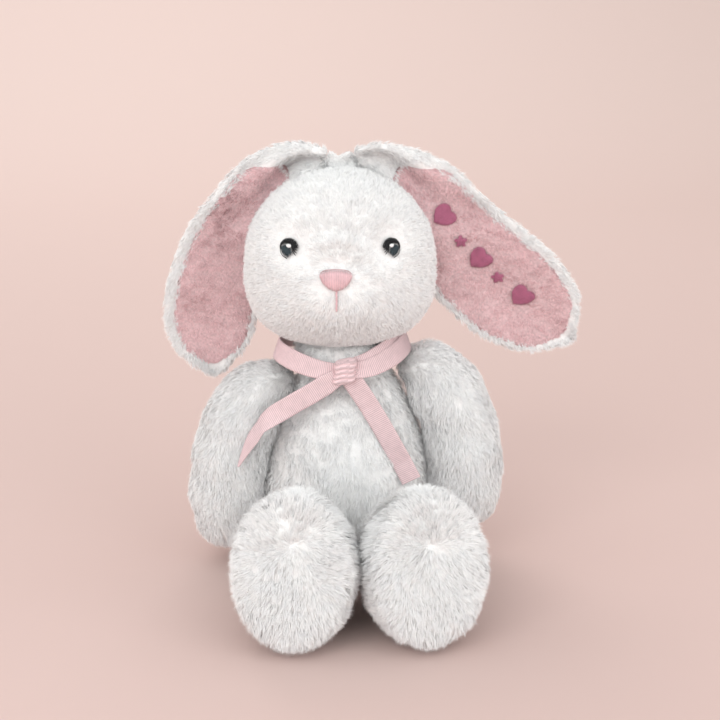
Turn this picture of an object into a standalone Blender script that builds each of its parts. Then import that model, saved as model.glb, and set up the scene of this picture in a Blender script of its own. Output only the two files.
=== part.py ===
"""Sitting plush bunny: sewn panels, stuffing, lop ears and a ribbon, in metres with +Z up, facing -Y.

Left and right are the toy's own, so the left side is at +X. The origin is the middle of the flat seat.
"""

import math

import bmesh
import bpy
from mathutils import Matrix, Vector
from mathutils.bvhtree import BVHTree

GAP = 0.0004
SEAM_GAP = 0.0005
SKIN = 0.0016
TURN_STEPS = 24
SIDES = {"left": 1, "right": -1}

# Torso: half widths at heights, seat to neck, and its depth as a share of its width.
TORSO_PROFILE = ((0.0385, 0.003), (0.0455, 0.014), (0.0480, 0.034), (0.0445, 0.064), (0.0375, 0.088), (0.0290, 0.105),
                 (0.0235, 0.113), (0.0225, 0.122))
TORSO_DEPTH = 0.84
TORSO_MIDDLE_Y = 0.004
SEAT_HALF_WIDTH = 0.037
SEAT_THICKNESS = 0.0022
POUCH_TOP = 0.024
STUFFING_TOP = 0.106

# Neck and head.
NECK = Vector((0, 0.004, 0.126))
NECK_RADIUS = 0.0165
HEAD_CENTRE = Vector((-0.003, 0.001, 0.179))
HEAD_HALF = Vector((0.0535, 0.047, 0.0510))
HEAD_OPENING = 0.024
MUZZLE_CENTRE = (0.0, -0.17)
MUZZLE_RISE = 0.0065
EYE_OFFSET = Vector((0.0283, 0, 0.0130))
EYE_RADIUS = 0.0054
NOSE_DROP = -0.0005
NOSE_HALF = (0.0092, 0.0058)
MOUTH_LENGTH = 0.012

# Ears: a lobe each that arches off the crown and leans back from the face. Each path point gives the distance out from
# the head's middle, the height and the half width there.
EAR_ROOT = Vector((0.004, 0.005, 0.2365))
EAR_LEAN = math.radians(10.5)
EAR_LAYER = 0.0026
EAR_BORDER = 0.0050
EAR_PATH = {
    "left": ((0.004, 0.2375, 0.006), (0.022, 0.2370, 0.010), (0.047, 0.2180, 0.023), (0.070, 0.1870, 0.032),
             (0.095, 0.1590, 0.0335), (0.113, 0.1430, 0.031), (0.131, 0.1270, 0.012)),
    "right": ((0.004, 0.2375, 0.006), (0.022, 0.2370, 0.010), (0.046, 0.2200, 0.021), (0.068, 0.1900, 0.0255),
              (0.079, 0.1600, 0.0270), (0.081, 0.1320, 0.0250), (0.079, 0.1080, 0.010)),
}

# Arms: the middle line from the shoulder seam to the paw, as distances out from the middle and heights, and the
# half width at each share of its length. The left arm sits a little higher.
ARM_PATH = {
    "left": ((0.0310, 0.1170), (0.0520, 0.1100), (0.0675, 0.0850), (0.0730, 0.0540), (0.0730, 0.0190)),
    "right": ((0.0310, 0.1100), (0.0500, 0.1000), (0.0650, 0.0740), (0.0700, 0.0430), (0.0695, 0.0090)),
}
ARM_REACH = -0.0040
ARM_PROFILE = ((0.0042, 0.00), (0.0125, 0.10), (0.0175, 0.24), (0.0190, 0.46), (0.0190, 0.72), (0.0172, 0.88),
               (0.0115, 0.965), (0.0, 1.0))

# Legs: from the hip seam to the sole, with the half width at each share of the length.
HIP = Vector((0.0240, -0.0410, 0.0225))
SOLE = Vector((0.0340, -0.1290, 0.0415))
LEG_PROFILE = ((0.0050, 0.00), (0.0150, 0.14), (0.0235, 0.35), (0.0290, 0.61), (0.0310, 0.82), (0.0300, 0.94),
               (0.0280, 1.0))
SOLE_DOME = 0.006
FOOT_STRETCH = 0.27

# Ribbon.
RIBBON_WIDTH = 0.0115
RIBBON_THICKNESS = 0.0009
BAND_HEIGHT = 0.1185
BAND_RADIUS = 0.0262
KNOT_POINT = (-0.002, 0.1175)
KNOT_SIZE = Vector((0.013, 0.007, 0.013))
TAIL_ENDS = {"left": (0.033, 0.060), "right": (-0.056, 0.070)}

TAIL_RADIUS = 0.017


def clear_scene():
    for obj in list(bpy.data.objects):
        bpy.data.objects.remove(obj, do_unlink=True)


def make_collection(name):
    collection = bpy.data.collections.new(name)
    bpy.context.scene.collection.children.link(collection)
    return collection


def make_material(name, colour, roughness):
    material = bpy.data.materials.new(name)
    material.use_nodes = True
    shader = material.node_tree.nodes["Principled BSDF"]
    shader.inputs["Base Color"].default_value = (*colour, 1)
    shader.inputs["Roughness"].default_value = roughness
    shader.inputs["Metallic"].default_value = 0
    return material


def make_object(name, mesh, material, parent=None):
    obj = bpy.data.objects.new(name, mesh)
    mesh.materials.append(material)
    mesh.shade_smooth()
    parts.objects.link(obj)
    if parent:
        pin_to(obj, parent)
    return obj


def pin_to(obj, parent):
    """Parents an object whose mesh is in world coordinates to an empty on its joint."""
    obj.parent = parent
    obj.matrix_parent_inverse = Matrix.Translation(-parent.location)


def make_pivot(name, point):
    pivot = bpy.data.objects.new(name, None)
    pivot.location = point
    pivot.empty_display_size = 0.01
    parts.objects.link(pivot)
    return pivot


def smooth_line(points, steps, first=0):
    """A Catmull-Rom curve through the points, from the one numbered first, with steps to each span."""
    points = [Vector(point) for point in points]
    line = []
    for i in range(first, len(points) - 1):
        before = points[max(i - 1, 0)]
        here = points[i]
        there = points[i + 1]
        after = points[min(i + 2, len(points) - 1)]
        for k in range(steps):
            t = k / steps
            line.append(0.5 * (
                2 * here + (there - before) * t + (2 * before - 5 * here + 4 * there - after) * t**2
                + (3 * here - before - 3 * there + after) * t**3
            ))
    return [*line, points[-1]]


def smooth_profile(points, steps):
    """Rounds a coarse (radius, height) outline."""
    return [(max(point.x, 0.0), point.y) for point in smooth_line(points, steps)]


def spun_mesh(name, profile, shape, start=0.0, sweep=math.tau, steps=TURN_STEPS):
    """Spins a (radius, height) profile about Z and moves each point by shape."""
    mesh = bpy.data.meshes.new(name)
    bm = bmesh.new()
    turn = Matrix.Rotation(start, 3, "Z")
    chain = [bm.verts.new(turn @ Vector((radius, 0, height))) for radius, height in profile]
    for first, second in zip(chain, chain[1:]):
        bm.edges.new((first, second))
    bmesh.ops.spin(bm, geom=bm.verts[:] + bm.edges[:], cent=(0, 0, 0), axis=(0, 0, 1), angle=sweep, steps=steps)
    bmesh.ops.remove_doubles(bm, verts=bm.verts[:], dist=1e-6)
    bmesh.ops.dissolve_degenerate(bm, edges=bm.edges[:], dist=1e-6)
    for vert in bm.verts:
        vert.co = shape(vert.co.copy())
    bmesh.ops.recalc_face_normals(bm, faces=bm.faces[:])
    if bm.calc_volume(signed=True) < 0:
        bmesh.ops.reverse_faces(bm, faces=bm.faces[:])
    bm.to_mesh(mesh)
    bm.free()
    return mesh


def add_skin(obj, inside_point):
    """Thickens an open surface towards its inside."""
    face_away(obj.data, inside_point)
    solidify = obj.modifiers.new("skin", "SOLIDIFY")
    solidify.thickness = SKIN
    solidify.offset = -1
    solidify.use_even_offset = True
    return obj


def face_away(mesh, centre):
    """Turns the surface so that its faces point away from centre."""
    facing = sum((poly.center - centre).dot(poly.normal) * poly.area for poly in mesh.polygons)
    if facing < 0:
        mesh.flip_normals()


# ---------------------------------------------------------------- torso


def torso_shape(point):
    return Vector((point.x, point.y * TORSO_DEPTH + TORSO_MIDDLE_Y, point.z))


def torso_panel(name, start, shift):
    """Half of the torso's skin, with open top and bottom edges, moved off the side seam by shift."""
    mesh = spun_mesh(name, smooth_profile(TORSO_PROFILE, 2), torso_shape, start, math.pi, 10)
    mesh.transform(Matrix.Translation((0, shift, 0)))
    return add_skin(make_object(name, mesh, plush), Vector((0, TORSO_MIDDLE_Y, 0.05)))


def torso_radius(height):
    """The torso skin's half width at a height."""
    outline = smooth_profile(TORSO_PROFILE, 2)
    for (low_radius, low), (high_radius, high) in zip(outline, outline[1:]):
        if low <= height <= high:
            return low_radius + (high_radius - low_radius) * (height - low) / (high - low)
    return outline[-1][0]


def torso_filling(name, low, high, material):
    """A rounded plug that fills the torso between two heights, clear of the skin."""
    clearance = SKIN + 2 * GAP + 0.0006
    steps = 8
    profile = []
    for k in range(steps + 1):
        t = k / steps
        height = low + (high - low) * (1 - math.cos(math.pi * t)) / 2
        taper = math.sin(math.pi * t) ** 0.45 if 0 < t < 1 else 0.0
        profile.append(((torso_radius(height) - clearance) * taper, height))
    return make_object(name, spun_mesh(name, profile, torso_shape, steps=20), material)


def make_torso():
    torso_panel("torso_front_panel", -math.pi, -SEAM_GAP)
    torso_panel("torso_back_panel", 0.0, SEAM_GAP)
    outline = [(0.0, 0.0), (SEAT_HALF_WIDTH - 0.001, 0.0), (SEAT_HALF_WIDTH, SEAT_THICKNESS), (0.0, SEAT_THICKNESS)]
    make_object("seat_panel", spun_mesh("seat_panel", outline, torso_shape, steps=32), plush)
    torso_filling("bean_pouch", SEAT_THICKNESS + GAP, POUCH_TOP, beans)
    torso_filling("torso_stuffing", POUCH_TOP + GAP, STUFFING_TOP, filling)
    make_tail()
    make_label()


def make_tail():
    back = torso_radius(0.030) * TORSO_DEPTH + TORSO_MIDDLE_Y
    profile = [(TAIL_RADIUS * math.sin(a * math.pi / 10), -TAIL_RADIUS * math.cos(a * math.pi / 10)) for a in range(11)]
    centre = Vector((0, back + 0.9 * TAIL_RADIUS + 2 * GAP, 0.030))
    mesh = spun_mesh("tail_pompom", profile, lambda p: Vector((p.x, p.y * 0.9, p.z)) + centre, steps=16)
    make_object("tail_pompom", mesh, plush)


def make_label():
    """A blank folded label that hangs from the seam beside the tail."""
    bm = bmesh.new()
    bmesh.ops.create_cube(bm, size=1)
    mesh = bpy.data.meshes.new("blank_label")
    bmesh.ops.scale(bm, vec=(0.012, 0.0008, 0.016), verts=bm.verts[:])
    bm.to_mesh(mesh)
    bm.free()
    label = make_object("blank_label", mesh, satin)
    label.location = (0.027, torso_radius(0.018) * TORSO_DEPTH + TORSO_MIDDLE_Y, 0.017)
    label.rotation_euler = (math.radians(14), 0, math.radians(-28))


# ---------------------------------------------------------------- head


def head_shape(point):
    """Takes a point of the unit sphere to the head: wide cheeks, narrower crown and a raised muzzle."""
    cheeks = 1 - 0.09 * point.z - 0.05 * point.z * point.z
    across = point.x / 0.56
    up = (point.z - MUZZLE_CENTRE[1]) / 0.42
    rise = MUZZLE_RISE * math.exp(-(across**4) - up**4) if point.y < 0 else 0.0
    return HEAD_CENTRE + Vector((point.x * HEAD_HALF.x * cheeks, point.y * HEAD_HALF.y - rise, point.z * HEAD_HALF.z))


def head_profile(scale, steps, opening):
    """A half circle from the neck opening up to the crown."""
    lowest = math.asin(opening / HEAD_HALF.x)
    angles = [lowest + (math.pi - lowest) * k / steps for k in range(steps + 1)]
    return [(scale * max(math.sin(a), 0.0) if a < math.pi else 0.0, -scale * math.cos(a)) for a in angles]


def head_panel(name, start, steps, shift):
    """Half of the head's skin, open at the neck, moved off the side seam by shift."""
    mesh = spun_mesh(name, head_profile(1.0, 14, HEAD_OPENING), head_shape, start, math.pi, steps)
    mesh.transform(Matrix.Translation((0, shift, 0)))
    return add_skin(make_object(name, mesh, plush, head_pivot), HEAD_CENTRE)


def on_face(across, up):
    """The face's surface point and outward normal, at an offset from the head's centre."""
    surface = bpy.data.objects["face_panel"].data
    tree = BVHTree.FromPolygons([v.co for v in surface.vertices], [p.vertices for p in surface.polygons])
    start = Vector((HEAD_CENTRE.x + across, -0.2, HEAD_CENTRE.z + up))
    point, normal, _, _ = tree.ray_cast(start, Vector((0, 1, 0)))
    return point, normal if normal.y < 0 else -normal


def stitched_patch(name, across, up, half_width, half_height, material):
    """A low dome of close stitching that lies on the face."""
    point, normal = on_face(across, up)
    frame = normal.to_track_quat("Z", "Y").to_matrix()
    height = 0.0010
    base = 0.0009
    profile = [(0.0, base), (0.9, base), (1.0, base + height / 2), (0.8, base + height), (0.0, base + 1.15 * height)]

    def shape(p):
        return point + frame @ Vector((p.x * half_width, p.y * half_height, p.z))

    make_object(name, spun_mesh(name, profile, shape, steps=16), material, head_pivot)


def make_tube(name, points, radius, material, parent):
    """A thin round thread along the points."""
    curve = bpy.data.curves.new(name, "CURVE")
    curve.dimensions = "3D"
    curve.bevel_depth = radius
    curve.bevel_resolution = 1
    curve.use_fill_caps = True
    spline = curve.splines.new("POLY")
    spline.points.add(len(points) - 1)
    for slot, point in zip(spline.points, points):
        slot.co = (*point, 1)
    obj = bpy.data.objects.new(name, curve)
    curve.materials.append(material)
    parts.objects.link(obj)
    pin_to(obj, parent)
    return obj


def make_head():
    head_panel("face_panel", -math.pi, 18, -SEAM_GAP)
    head_panel("head_back_panel", 0.0, 12, SEAM_GAP)
    inside = HEAD_HALF.x - SKIN - 0.0022
    scale = inside / HEAD_HALF.x
    closed = [(0.0, -0.74), *head_profile(scale, 9, 0.032)]
    filling_mesh = spun_mesh("head_stuffing", closed, head_shape, steps=20)
    make_object("head_stuffing", filling_mesh, filling, head_pivot)
    for side, sign in SIDES.items():
        stitched_patch(f"eye_{side}", sign * EYE_OFFSET.x, EYE_OFFSET.z, EYE_RADIUS, EYE_RADIUS * 1.05, black_thread)
    stitched_patch("nose", 0.0, NOSE_DROP, *NOSE_HALF, rose_thread)
    start = NOSE_DROP - NOSE_HALF[1] - 0.001
    route = []
    for k in range(5):
        point, normal = on_face(0.0, start - MOUTH_LENGTH * k / 4)
        route.append(point + 0.0012 * normal)
    make_tube("mouth_stitch", route, 0.0006, rose_thread, head_pivot)


def make_neck():
    profile = [(NECK_RADIUS * math.sin(a * math.pi / 8) ** 0.6 if 0 < a < 8 else 0.0,
                -0.0125 * math.cos(a * math.pi / 8)) for a in range(9)]
    centre = Vector((NECK.x, NECK.y, STUFFING_TOP + 0.0145))
    mesh = spun_mesh("neck_stuffing", profile, lambda p: p + centre, steps=16)
    make_object("neck_stuffing", mesh, filling, make_pivot("neck_pivot", NECK))


# ---------------------------------------------------------------- ears


def ear_root(side):
    return Vector((HEAD_CENTRE.x + SIDES[side] * EAR_ROOT.x, EAR_ROOT.y, EAR_ROOT.z))


def ear_point(side, out, height, depth):
    """A point of the ear's plane, depth metres in front of it. The plane leans back about the root."""
    lean = Matrix.Rotation(EAR_LEAN, 3, "X")
    offset = Vector((HEAD_CENTRE.x + SIDES[side] * out - ear_root(side).x, -depth, height - EAR_ROOT.z))
    return ear_root(side) + lean @ offset


def ear_path(side, start):
    """(middle point, half width) along the ear's middle line, smoothed, from the path point called start."""
    return [(Vector((spot.x, spot.y)), spot.z) for spot in smooth_line(EAR_PATH[side], 3, start)]


def ear_outline(side, inset, start):
    """(out, height) points round the ear: its upper edge to the tip, then its lower edge back to the root."""
    path = ear_path(side, start)
    upper = []
    lower = []
    for i, (middle, half) in enumerate(path):
        run = path[min(i + 1, len(path) - 1)][0] - path[max(i - 1, 0)][0]
        across = Vector((-run.y, run.x)).normalized() * (half - inset)
        if across.dot(Vector((1, 0.3))) < 0:
            across = -across
        upper.append(middle + across)
        lower.append(middle - across)
    beyond = path[-1][0] - path[-2][0]
    tip = path[-1][0] + beyond.normalized() * (0.004 - 0.4 * inset)
    return [*upper, tip, *reversed(lower)]


def ear_layer(name, side, inset, start, depth, material, clearance):
    """One layer of the ear, depth metres in front of the ear's middle plane."""
    bm = bmesh.new()
    rim = [bm.verts.new(ear_point(side, spot.x, spot.y, depth)) for spot in ear_outline(side, inset, start)]
    bm.faces.new(rim)
    bmesh.ops.triangulate(bm, faces=bm.faces[:])
    mesh = bpy.data.meshes.new(name)
    bm.to_mesh(mesh)
    bm.free()
    face_away(mesh, ear_root(side) + Vector((0, 1, 0)))
    obj = make_object(name, mesh, material, bpy.data.objects[f"ear_{side}_pivot"])
    solidify = obj.modifiers.new("pile", "SOLIDIFY")
    solidify.thickness = EAR_LAYER
    solidify.offset = 1
    cut = obj.modifiers.new("clear of the head", "BOOLEAN")
    cut.operation = "DIFFERENCE"
    cut.object = clearance
    return obj


def head_clearance():
    """The head's shape a little larger, which trims the ears where they lie against it."""
    mesh = spun_mesh("head_clearance", [(0.0, -1.0), *head_profile(1.0, 12, 0.008)], head_shape, steps=24)
    for vert in mesh.vertices:
        offset = vert.co - HEAD_CENTRE
        vert.co += offset.normalized() * 0.0022
    obj = bpy.data.objects.new("head_clearance", mesh)
    guides.objects.link(obj)
    obj.hide_render = True
    obj.display_type = "WIRE"
    return obj


def make_ears():
    clearance = head_clearance()
    for side in SIDES:
        make_pivot(f"ear_{side}_pivot", ear_root(side))
        ear_layer(f"ear_{side}_back", side, 0.0, 0, -EAR_LAYER - GAP / 2, plush, clearance)
        ear_layer(f"ear_{side}_lining", side, EAR_BORDER, 2, GAP / 2, velour, clearance)
    route = []
    path = ear_path("left", 3)
    for i, (middle, _) in enumerate(path[:-2]):
        wave = 0.003 * math.sin(0.5 * math.pi * i)
        route.append(ear_point("left", middle.x + wave, middle.y + wave, EAR_LAYER + GAP / 2 + 0.0011))
    make_tube("ear_left_motif", route, 0.0008, rose_thread, bpy.data.objects["ear_left_pivot"])


# ---------------------------------------------------------------- limbs


def along_path(points, level):
    """A function that lays a spun shape along a path: its height 0 to 1 runs from the first point to the last."""
    line = smooth_line(points, 6) if len(points) > 2 else points
    reach = [0.0]
    for here, there in zip(line, line[1:]):
        reach.append(reach[-1] + (there - here).length)

    def place(point):
        distance = point.z * reach[-1]
        i = 0
        while i < len(line) - 2 and reach[i + 1] < distance:
            i += 1
        share = (distance - reach[i]) / (reach[i + 1] - reach[i])
        ahead = (line[min(i + 2, len(line) - 1)] - line[min(i + 1, len(line) - 2)]).normalized()
        here = (line[i + 1] - line[i]).normalized()
        axis = here.lerp(ahead, max(0.0, min(share, 1.0))).normalized()
        across = level.cross(axis).normalized()
        return line[i].lerp(line[i + 1], share) + across * point.x + axis.cross(across) * point.y

    return place


def limb_filling(profile, slimming, shortening):
    """The stuffing of a limb: its own profile made slimmer and shorter about the middle, and closed at both ends."""
    inner = [(radius * slimming, 0.5 + (height - 0.5) * shortening) for radius, height in profile]
    first = inner[0][1] - 0.008
    last = inner[-1][1] + 0.008
    rounded = [point for point in inner if point[0] > 0]
    return [(0.0, first), *rounded, (0.0, last)]


def arm_line(side):
    points = ARM_PATH[side]
    return [Vector((SIDES[side] * out, ARM_REACH * i / (len(points) - 1), up)) for i, (out, up) in enumerate(points)]


def make_arm(side):
    line = arm_line(side)
    place = along_path(line, Vector((0, 1, 0)))
    pivot = make_pivot(f"arm_{side}_pivot", line[0])
    name = f"arm_{side}_shell"
    mesh = spun_mesh(name, smooth_profile(ARM_PROFILE, 2), place, steps=16)
    add_skin(make_object(name, mesh, plush, pivot), line[2])
    name = f"arm_{side}_stuffing"
    inner = limb_filling(ARM_PROFILE, 0.82, 0.91)
    make_object(name, spun_mesh(name, inner, place, steps=16), filling, pivot)


def make_leg(side):
    sign = SIDES[side]
    hip = Vector((sign * HIP.x, HIP.y, HIP.z))
    sole = Vector((sign * SOLE.x, SOLE.y, SOLE.z))
    length = (sole - hip).length
    straight = along_path([hip, sole], Vector((1, 0, 0)))

    def place(point):
        """The leg is round at the hip and grows taller than it's wide towards the foot."""
        taller = 1 + FOOT_STRETCH * max(0.0, min(point.z, 1.0))
        return straight(Vector((point.x * taller, point.y, point.z)))

    pivot = make_pivot(f"leg_{side}_pivot", hip)
    name = f"leg_{side}_shell"
    mesh = spun_mesh(name, smooth_profile(LEG_PROFILE, 2), place, steps=20)
    add_skin(make_object(name, mesh, plush, pivot), hip.lerp(sole, 0.6))
    rim = LEG_PROFILE[-1][0]
    back = 1.0 + (GAP + SKIN) / length
    dome = [(rim * math.cos(a), back + SOLE_DOME / length * math.sin(a)) for a in (0.0, 0.35, 0.7, 1.1)]
    dome.append((0.0, back + SOLE_DOME / length))
    name = f"sole_{side}"
    add_skin(make_object(name, spun_mesh(name, dome, place, steps=20), plush, pivot), hip)
    name = f"leg_{side}_stuffing"
    inner = limb_filling(LEG_PROFILE, 0.86, 0.93)
    make_object(name, spun_mesh(name, inner, place, steps=16), filling, pivot)


# ---------------------------------------------------------------- ribbon


def belly_front(across, height):
    """How far forward the torso's front is, at a distance from the middle and a height."""
    radius = torso_radius(height)
    share = max(-1.0, min(1.0, across / radius))
    return TORSO_MIDDLE_Y - radius * TORSO_DEPTH * math.sqrt(1 - share * share)


def make_strip(name, centres, across, parent=None):
    """A flat length of ribbon through the centres, as wide as across is long."""
    bm = bmesh.new()
    rows = [(bm.verts.new(c - across / 2), bm.verts.new(c + across / 2)) for c in centres]
    for (a, b), (c, d) in zip(rows, rows[1:]):
        bm.faces.new((a, b, d, c))
    mesh = bpy.data.meshes.new(name)
    bm.to_mesh(mesh)
    bm.free()
    obj = make_object(name, mesh, grosgrain, parent)
    solidify = obj.modifiers.new("weave", "SOLIDIFY")
    solidify.thickness = RIBBON_THICKNESS
    solidify.offset = 0
    return obj


def make_ribbon():
    half = RIBBON_WIDTH / 2
    outline = [(BAND_RADIUS, BAND_HEIGHT - half), (BAND_RADIUS, BAND_HEIGHT), (BAND_RADIUS, BAND_HEIGHT + half)]
    band = spun_mesh("neck_ribbon_band", outline, torso_shape, steps=32)
    band_object = make_object("neck_ribbon_band", band, grosgrain)
    face_away(band, Vector((0, 0, BAND_HEIGHT)))
    solidify = band_object.modifiers.new("weave", "SOLIDIFY")
    solidify.thickness = RIBBON_THICKNESS
    solidify.offset = -1
    front = TORSO_MIDDLE_Y - BAND_RADIUS * TORSO_DEPTH
    centre = Vector((KNOT_POINT[0], front - KNOT_SIZE.y / 2 - 0.0012, KNOT_POINT[1]))
    bm = bmesh.new()
    bmesh.ops.create_cube(bm, size=1)
    bmesh.ops.scale(bm, vec=KNOT_SIZE, verts=bm.verts[:])
    bmesh.ops.bevel(bm, geom=bm.edges[:], offset=0.002, segments=2, affect="EDGES", profile=0.5)
    bmesh.ops.translate(bm, vec=centre, verts=bm.verts[:])
    knot = bpy.data.meshes.new("ribbon_knot")
    bm.to_mesh(knot)
    bm.free()
    make_object("ribbon_knot", knot, grosgrain)
    for side, sign in SIDES.items():
        make_ribbon_tail(side, sign, centre)


def make_ribbon_tail(side, sign, knot_centre):
    """A tail that lies on the belly below the knot; the right one lies over the left."""
    start = Vector((knot_centre.x + sign * 0.0052, 0, knot_centre.z - KNOT_SIZE.z / 2 - 0.0030))
    end = Vector((TAIL_ENDS[side][0], 0, TAIL_ENDS[side][1]))
    steps = 8
    centres = []
    for k in range(steps + 1):
        spot = start.lerp(end, k / steps)
        nearby = [max(-0.030, min(0.030, spot.x + offset * RIBBON_WIDTH)) for offset in (-0.5, 0, 0.5)]
        depth = min(belly_front(x, spot.z - 0.004) for x in nearby)
        centres.append(Vector((spot.x, depth - (0.0024 if side == "left" else 0.0042), spot.z)))
    run = (end - start).normalized()
    across = Vector((run.z, 0, -run.x)) * RIBBON_WIDTH
    make_strip(f"ribbon_tail_{side}", centres, across, make_pivot(f"ribbon_tail_{side}_pivot", knot_centre))


clear_scene()
parts = make_collection("plush_bunny")
guides = make_collection("guides")
plush = make_material("white plush", (0.86, 0.85, 0.85), 0.95)
velour = make_material("pink velour", (0.70, 0.36, 0.41), 0.90)
grosgrain = make_material("pink grosgrain", (0.80, 0.52, 0.56), 0.60)
rose_thread = make_material("rose thread", (0.70, 0.28, 0.34), 0.50)
black_thread = make_material("black thread", (0.02, 0.02, 0.03), 0.40)
filling = make_material("polyester fibre", (0.90, 0.90, 0.88), 1.00)
beans = make_material("plastic beans in cotton", (0.75, 0.72, 0.65), 0.80)
satin = make_material("white satin", (0.85, 0.85, 0.84), 0.45)

make_torso()
make_neck()
head_pivot = make_pivot("head_pivot", NECK)
make_head()
make_ears()
for limb_side in SIDES:
    make_arm(limb_side)
    make_leg(limb_side)
make_ribbon()
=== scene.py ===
import math

import bpy
import numpy as np
from bpy.props import FloatProperty, FloatVectorProperty, IntProperty, PointerProperty
from bpy.types import Operator, Panel, PropertyGroup
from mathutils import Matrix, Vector
from mathutils.bvhtree import BVHTree


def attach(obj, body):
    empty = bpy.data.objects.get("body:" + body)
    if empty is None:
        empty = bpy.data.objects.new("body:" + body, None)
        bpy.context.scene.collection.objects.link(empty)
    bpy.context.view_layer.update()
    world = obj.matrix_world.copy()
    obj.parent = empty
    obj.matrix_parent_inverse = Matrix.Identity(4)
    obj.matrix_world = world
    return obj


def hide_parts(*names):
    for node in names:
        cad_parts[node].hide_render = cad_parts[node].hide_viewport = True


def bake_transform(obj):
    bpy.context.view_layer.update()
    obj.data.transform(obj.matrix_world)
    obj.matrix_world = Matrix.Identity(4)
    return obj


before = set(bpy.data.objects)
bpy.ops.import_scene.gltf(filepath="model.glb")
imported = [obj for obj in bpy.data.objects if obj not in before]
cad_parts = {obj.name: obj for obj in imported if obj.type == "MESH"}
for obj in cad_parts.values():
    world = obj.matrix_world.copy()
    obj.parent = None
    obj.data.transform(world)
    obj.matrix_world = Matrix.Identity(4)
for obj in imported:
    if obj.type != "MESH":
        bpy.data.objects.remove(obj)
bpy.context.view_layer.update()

bl_info = {
    "name": "Plush bunny",
    "version": (1, 0, 0),
    "blender": (4, 5, 0),
    "location": "View3D > Sidebar > Bunny",
    "description": "Builds a sitting plush bunny with lop ears, a stitched face and a ribbon round its packed frame",
    "category": "Add Mesh",
}

TURN = math.tau
TOWARDS_BACK = np.array([0.0, 1.0, 0.0])
SIDES = {"left": 1, "right": -1}
FLOOR_CLEARANCE = 0.0005
PER_TUFT = 8

# How far the cloth backing lies below the CAD's skin, so that the pile on it ends near that skin.
BACKING_DEPTH = 0.0010

TORSO_PROFILE = ((0.0385, 0.003), (0.0455, 0.014), (0.0480, 0.034), (0.0445, 0.064), (0.0375, 0.088),
                 (0.0290, 0.105), (0.0235, 0.113), (0.0225, 0.122))
TORSO_DEPTH = 0.84
TORSO_MIDDLE_Y = 0.004

HEAD_CENTRE = np.array([-0.003, 0.001, 0.179])
HEAD_HALF = np.array([0.0535, 0.047, 0.0510])
MUZZLE_RISE = 0.0065
EYE_OUT = 0.0268
EYE_UP = 0.0118
NOSE_UP = -0.0024
FACE_TURN = -0.0045
EYE_TURN = -0.0015

EAR_ROOT_Y = 0.005
EAR_ROOT_HEIGHT = 0.2365
EAR_LEAN = math.radians(10.5)
EAR_PATH = {
    "left": ((-0.004, 0.2242, 0.0066), (0.011, 0.2298, 0.0095), (0.025, 0.2305, 0.0125), (0.046, 0.2140, 0.0220),
             (0.068, 0.1835, 0.0300), (0.094, 0.1575, 0.0330), (0.113, 0.1410, 0.0292), (0.129, 0.1275, 0.0190),
             (0.1375, 0.1210, 0.002)),
    "right": ((-0.004, 0.2242, 0.0066), (0.011, 0.2298, 0.0095), (0.025, 0.2305, 0.0125), (0.042, 0.2165, 0.0200),
              (0.0615, 0.1860, 0.0245), (0.0715, 0.1570, 0.0260), (0.0745, 0.1300, 0.0245), (0.0735, 0.1055, 0.0105),
              (0.0730, 0.1022, 0.001)),
}

ARM_PATH = {
    "left": ((0.0310, 0.1170), (0.0520, 0.1100), (0.0675, 0.0850), (0.0730, 0.0540), (0.0730, 0.0190)),
    "right": ((0.0310, 0.1100), (0.0500, 0.1000), (0.0650, 0.0740), (0.0700, 0.0430), (0.0695, 0.0090)),
}
ARM_REACH = -0.0040
ARM_TUCK = {"left": 0.0026, "right": 0.0}
ARM_PROFILE = ((0.0042, 0.00), (0.0125, 0.10), (0.0175, 0.24), (0.0190, 0.46), (0.0190, 0.72), (0.0172, 0.88),
               (0.0115, 0.965), (0.0004, 1.0))

HIP = (0.0240, -0.0410, 0.0225)
SOLE = {"left": (0.0362, -0.1290, 0.0432), "right": (0.0336, -0.1290, 0.0432)}
FOOT_STRETCH = 0.33
LEG_PROFILE = ((0.0090, 0.00), (0.0180, 0.12), (0.0246, 0.33), (0.0290, 0.61), (0.0310, 0.82), (0.0300, 0.94),
               (0.0280, 1.0))
SOLE_DOME = ((0.0245, -0.0030), (0.0278, -0.0010), (0.0284, 0.0012), (0.0268, 0.0036), (0.0225, 0.0058),
             (0.0155, 0.0076), (0.0075, 0.0086), (0.0010, 0.0089))

TAIL_CENTRE = np.array([0.0, 0.0602, 0.030])
KNOT_CENTRE = np.array([-0.002, -0.0227, 0.1200])


# ---------------------------------------------------------------- settings


def length(name, description, default):
    """A size in metres that a user may change."""
    return FloatProperty(name=name, description=description, default=default, unit="LENGTH")


def colour_of(name, description, default):
    """A colour that a user may change."""
    return FloatVectorProperty(name=name, description=description, default=default, subtype="COLOR", size=3)


class BunnyPile(PropertyGroup):
    """Lengths and colours of the plush."""

    body: length("Body pile", "Length of the pile on the body", 0.0052)
    face: length("Face pile", "Length of the pile on the head", 0.0042)
    foot: length("Foot pile", "Length of the pile on the feet", 0.0066)
    tail: length("Tail pile", "Length of the pile on the tail", 0.0080)
    lining: length("Lining pile", "Length of the velour pile in the ears", 0.0020)
    strand: length("Strand width", "Width of one tapering strand at its root", 0.00030)
    white: colour_of("Plush", "Colour of the plush at its tips", (0.98, 0.98, 0.975))
    pink: colour_of("Lining", "Colour of the ear lining", (0.88, 0.63, 0.65))
    seed: IntProperty(name="Seed", description="Changes where each strand stands", default=7)


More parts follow.
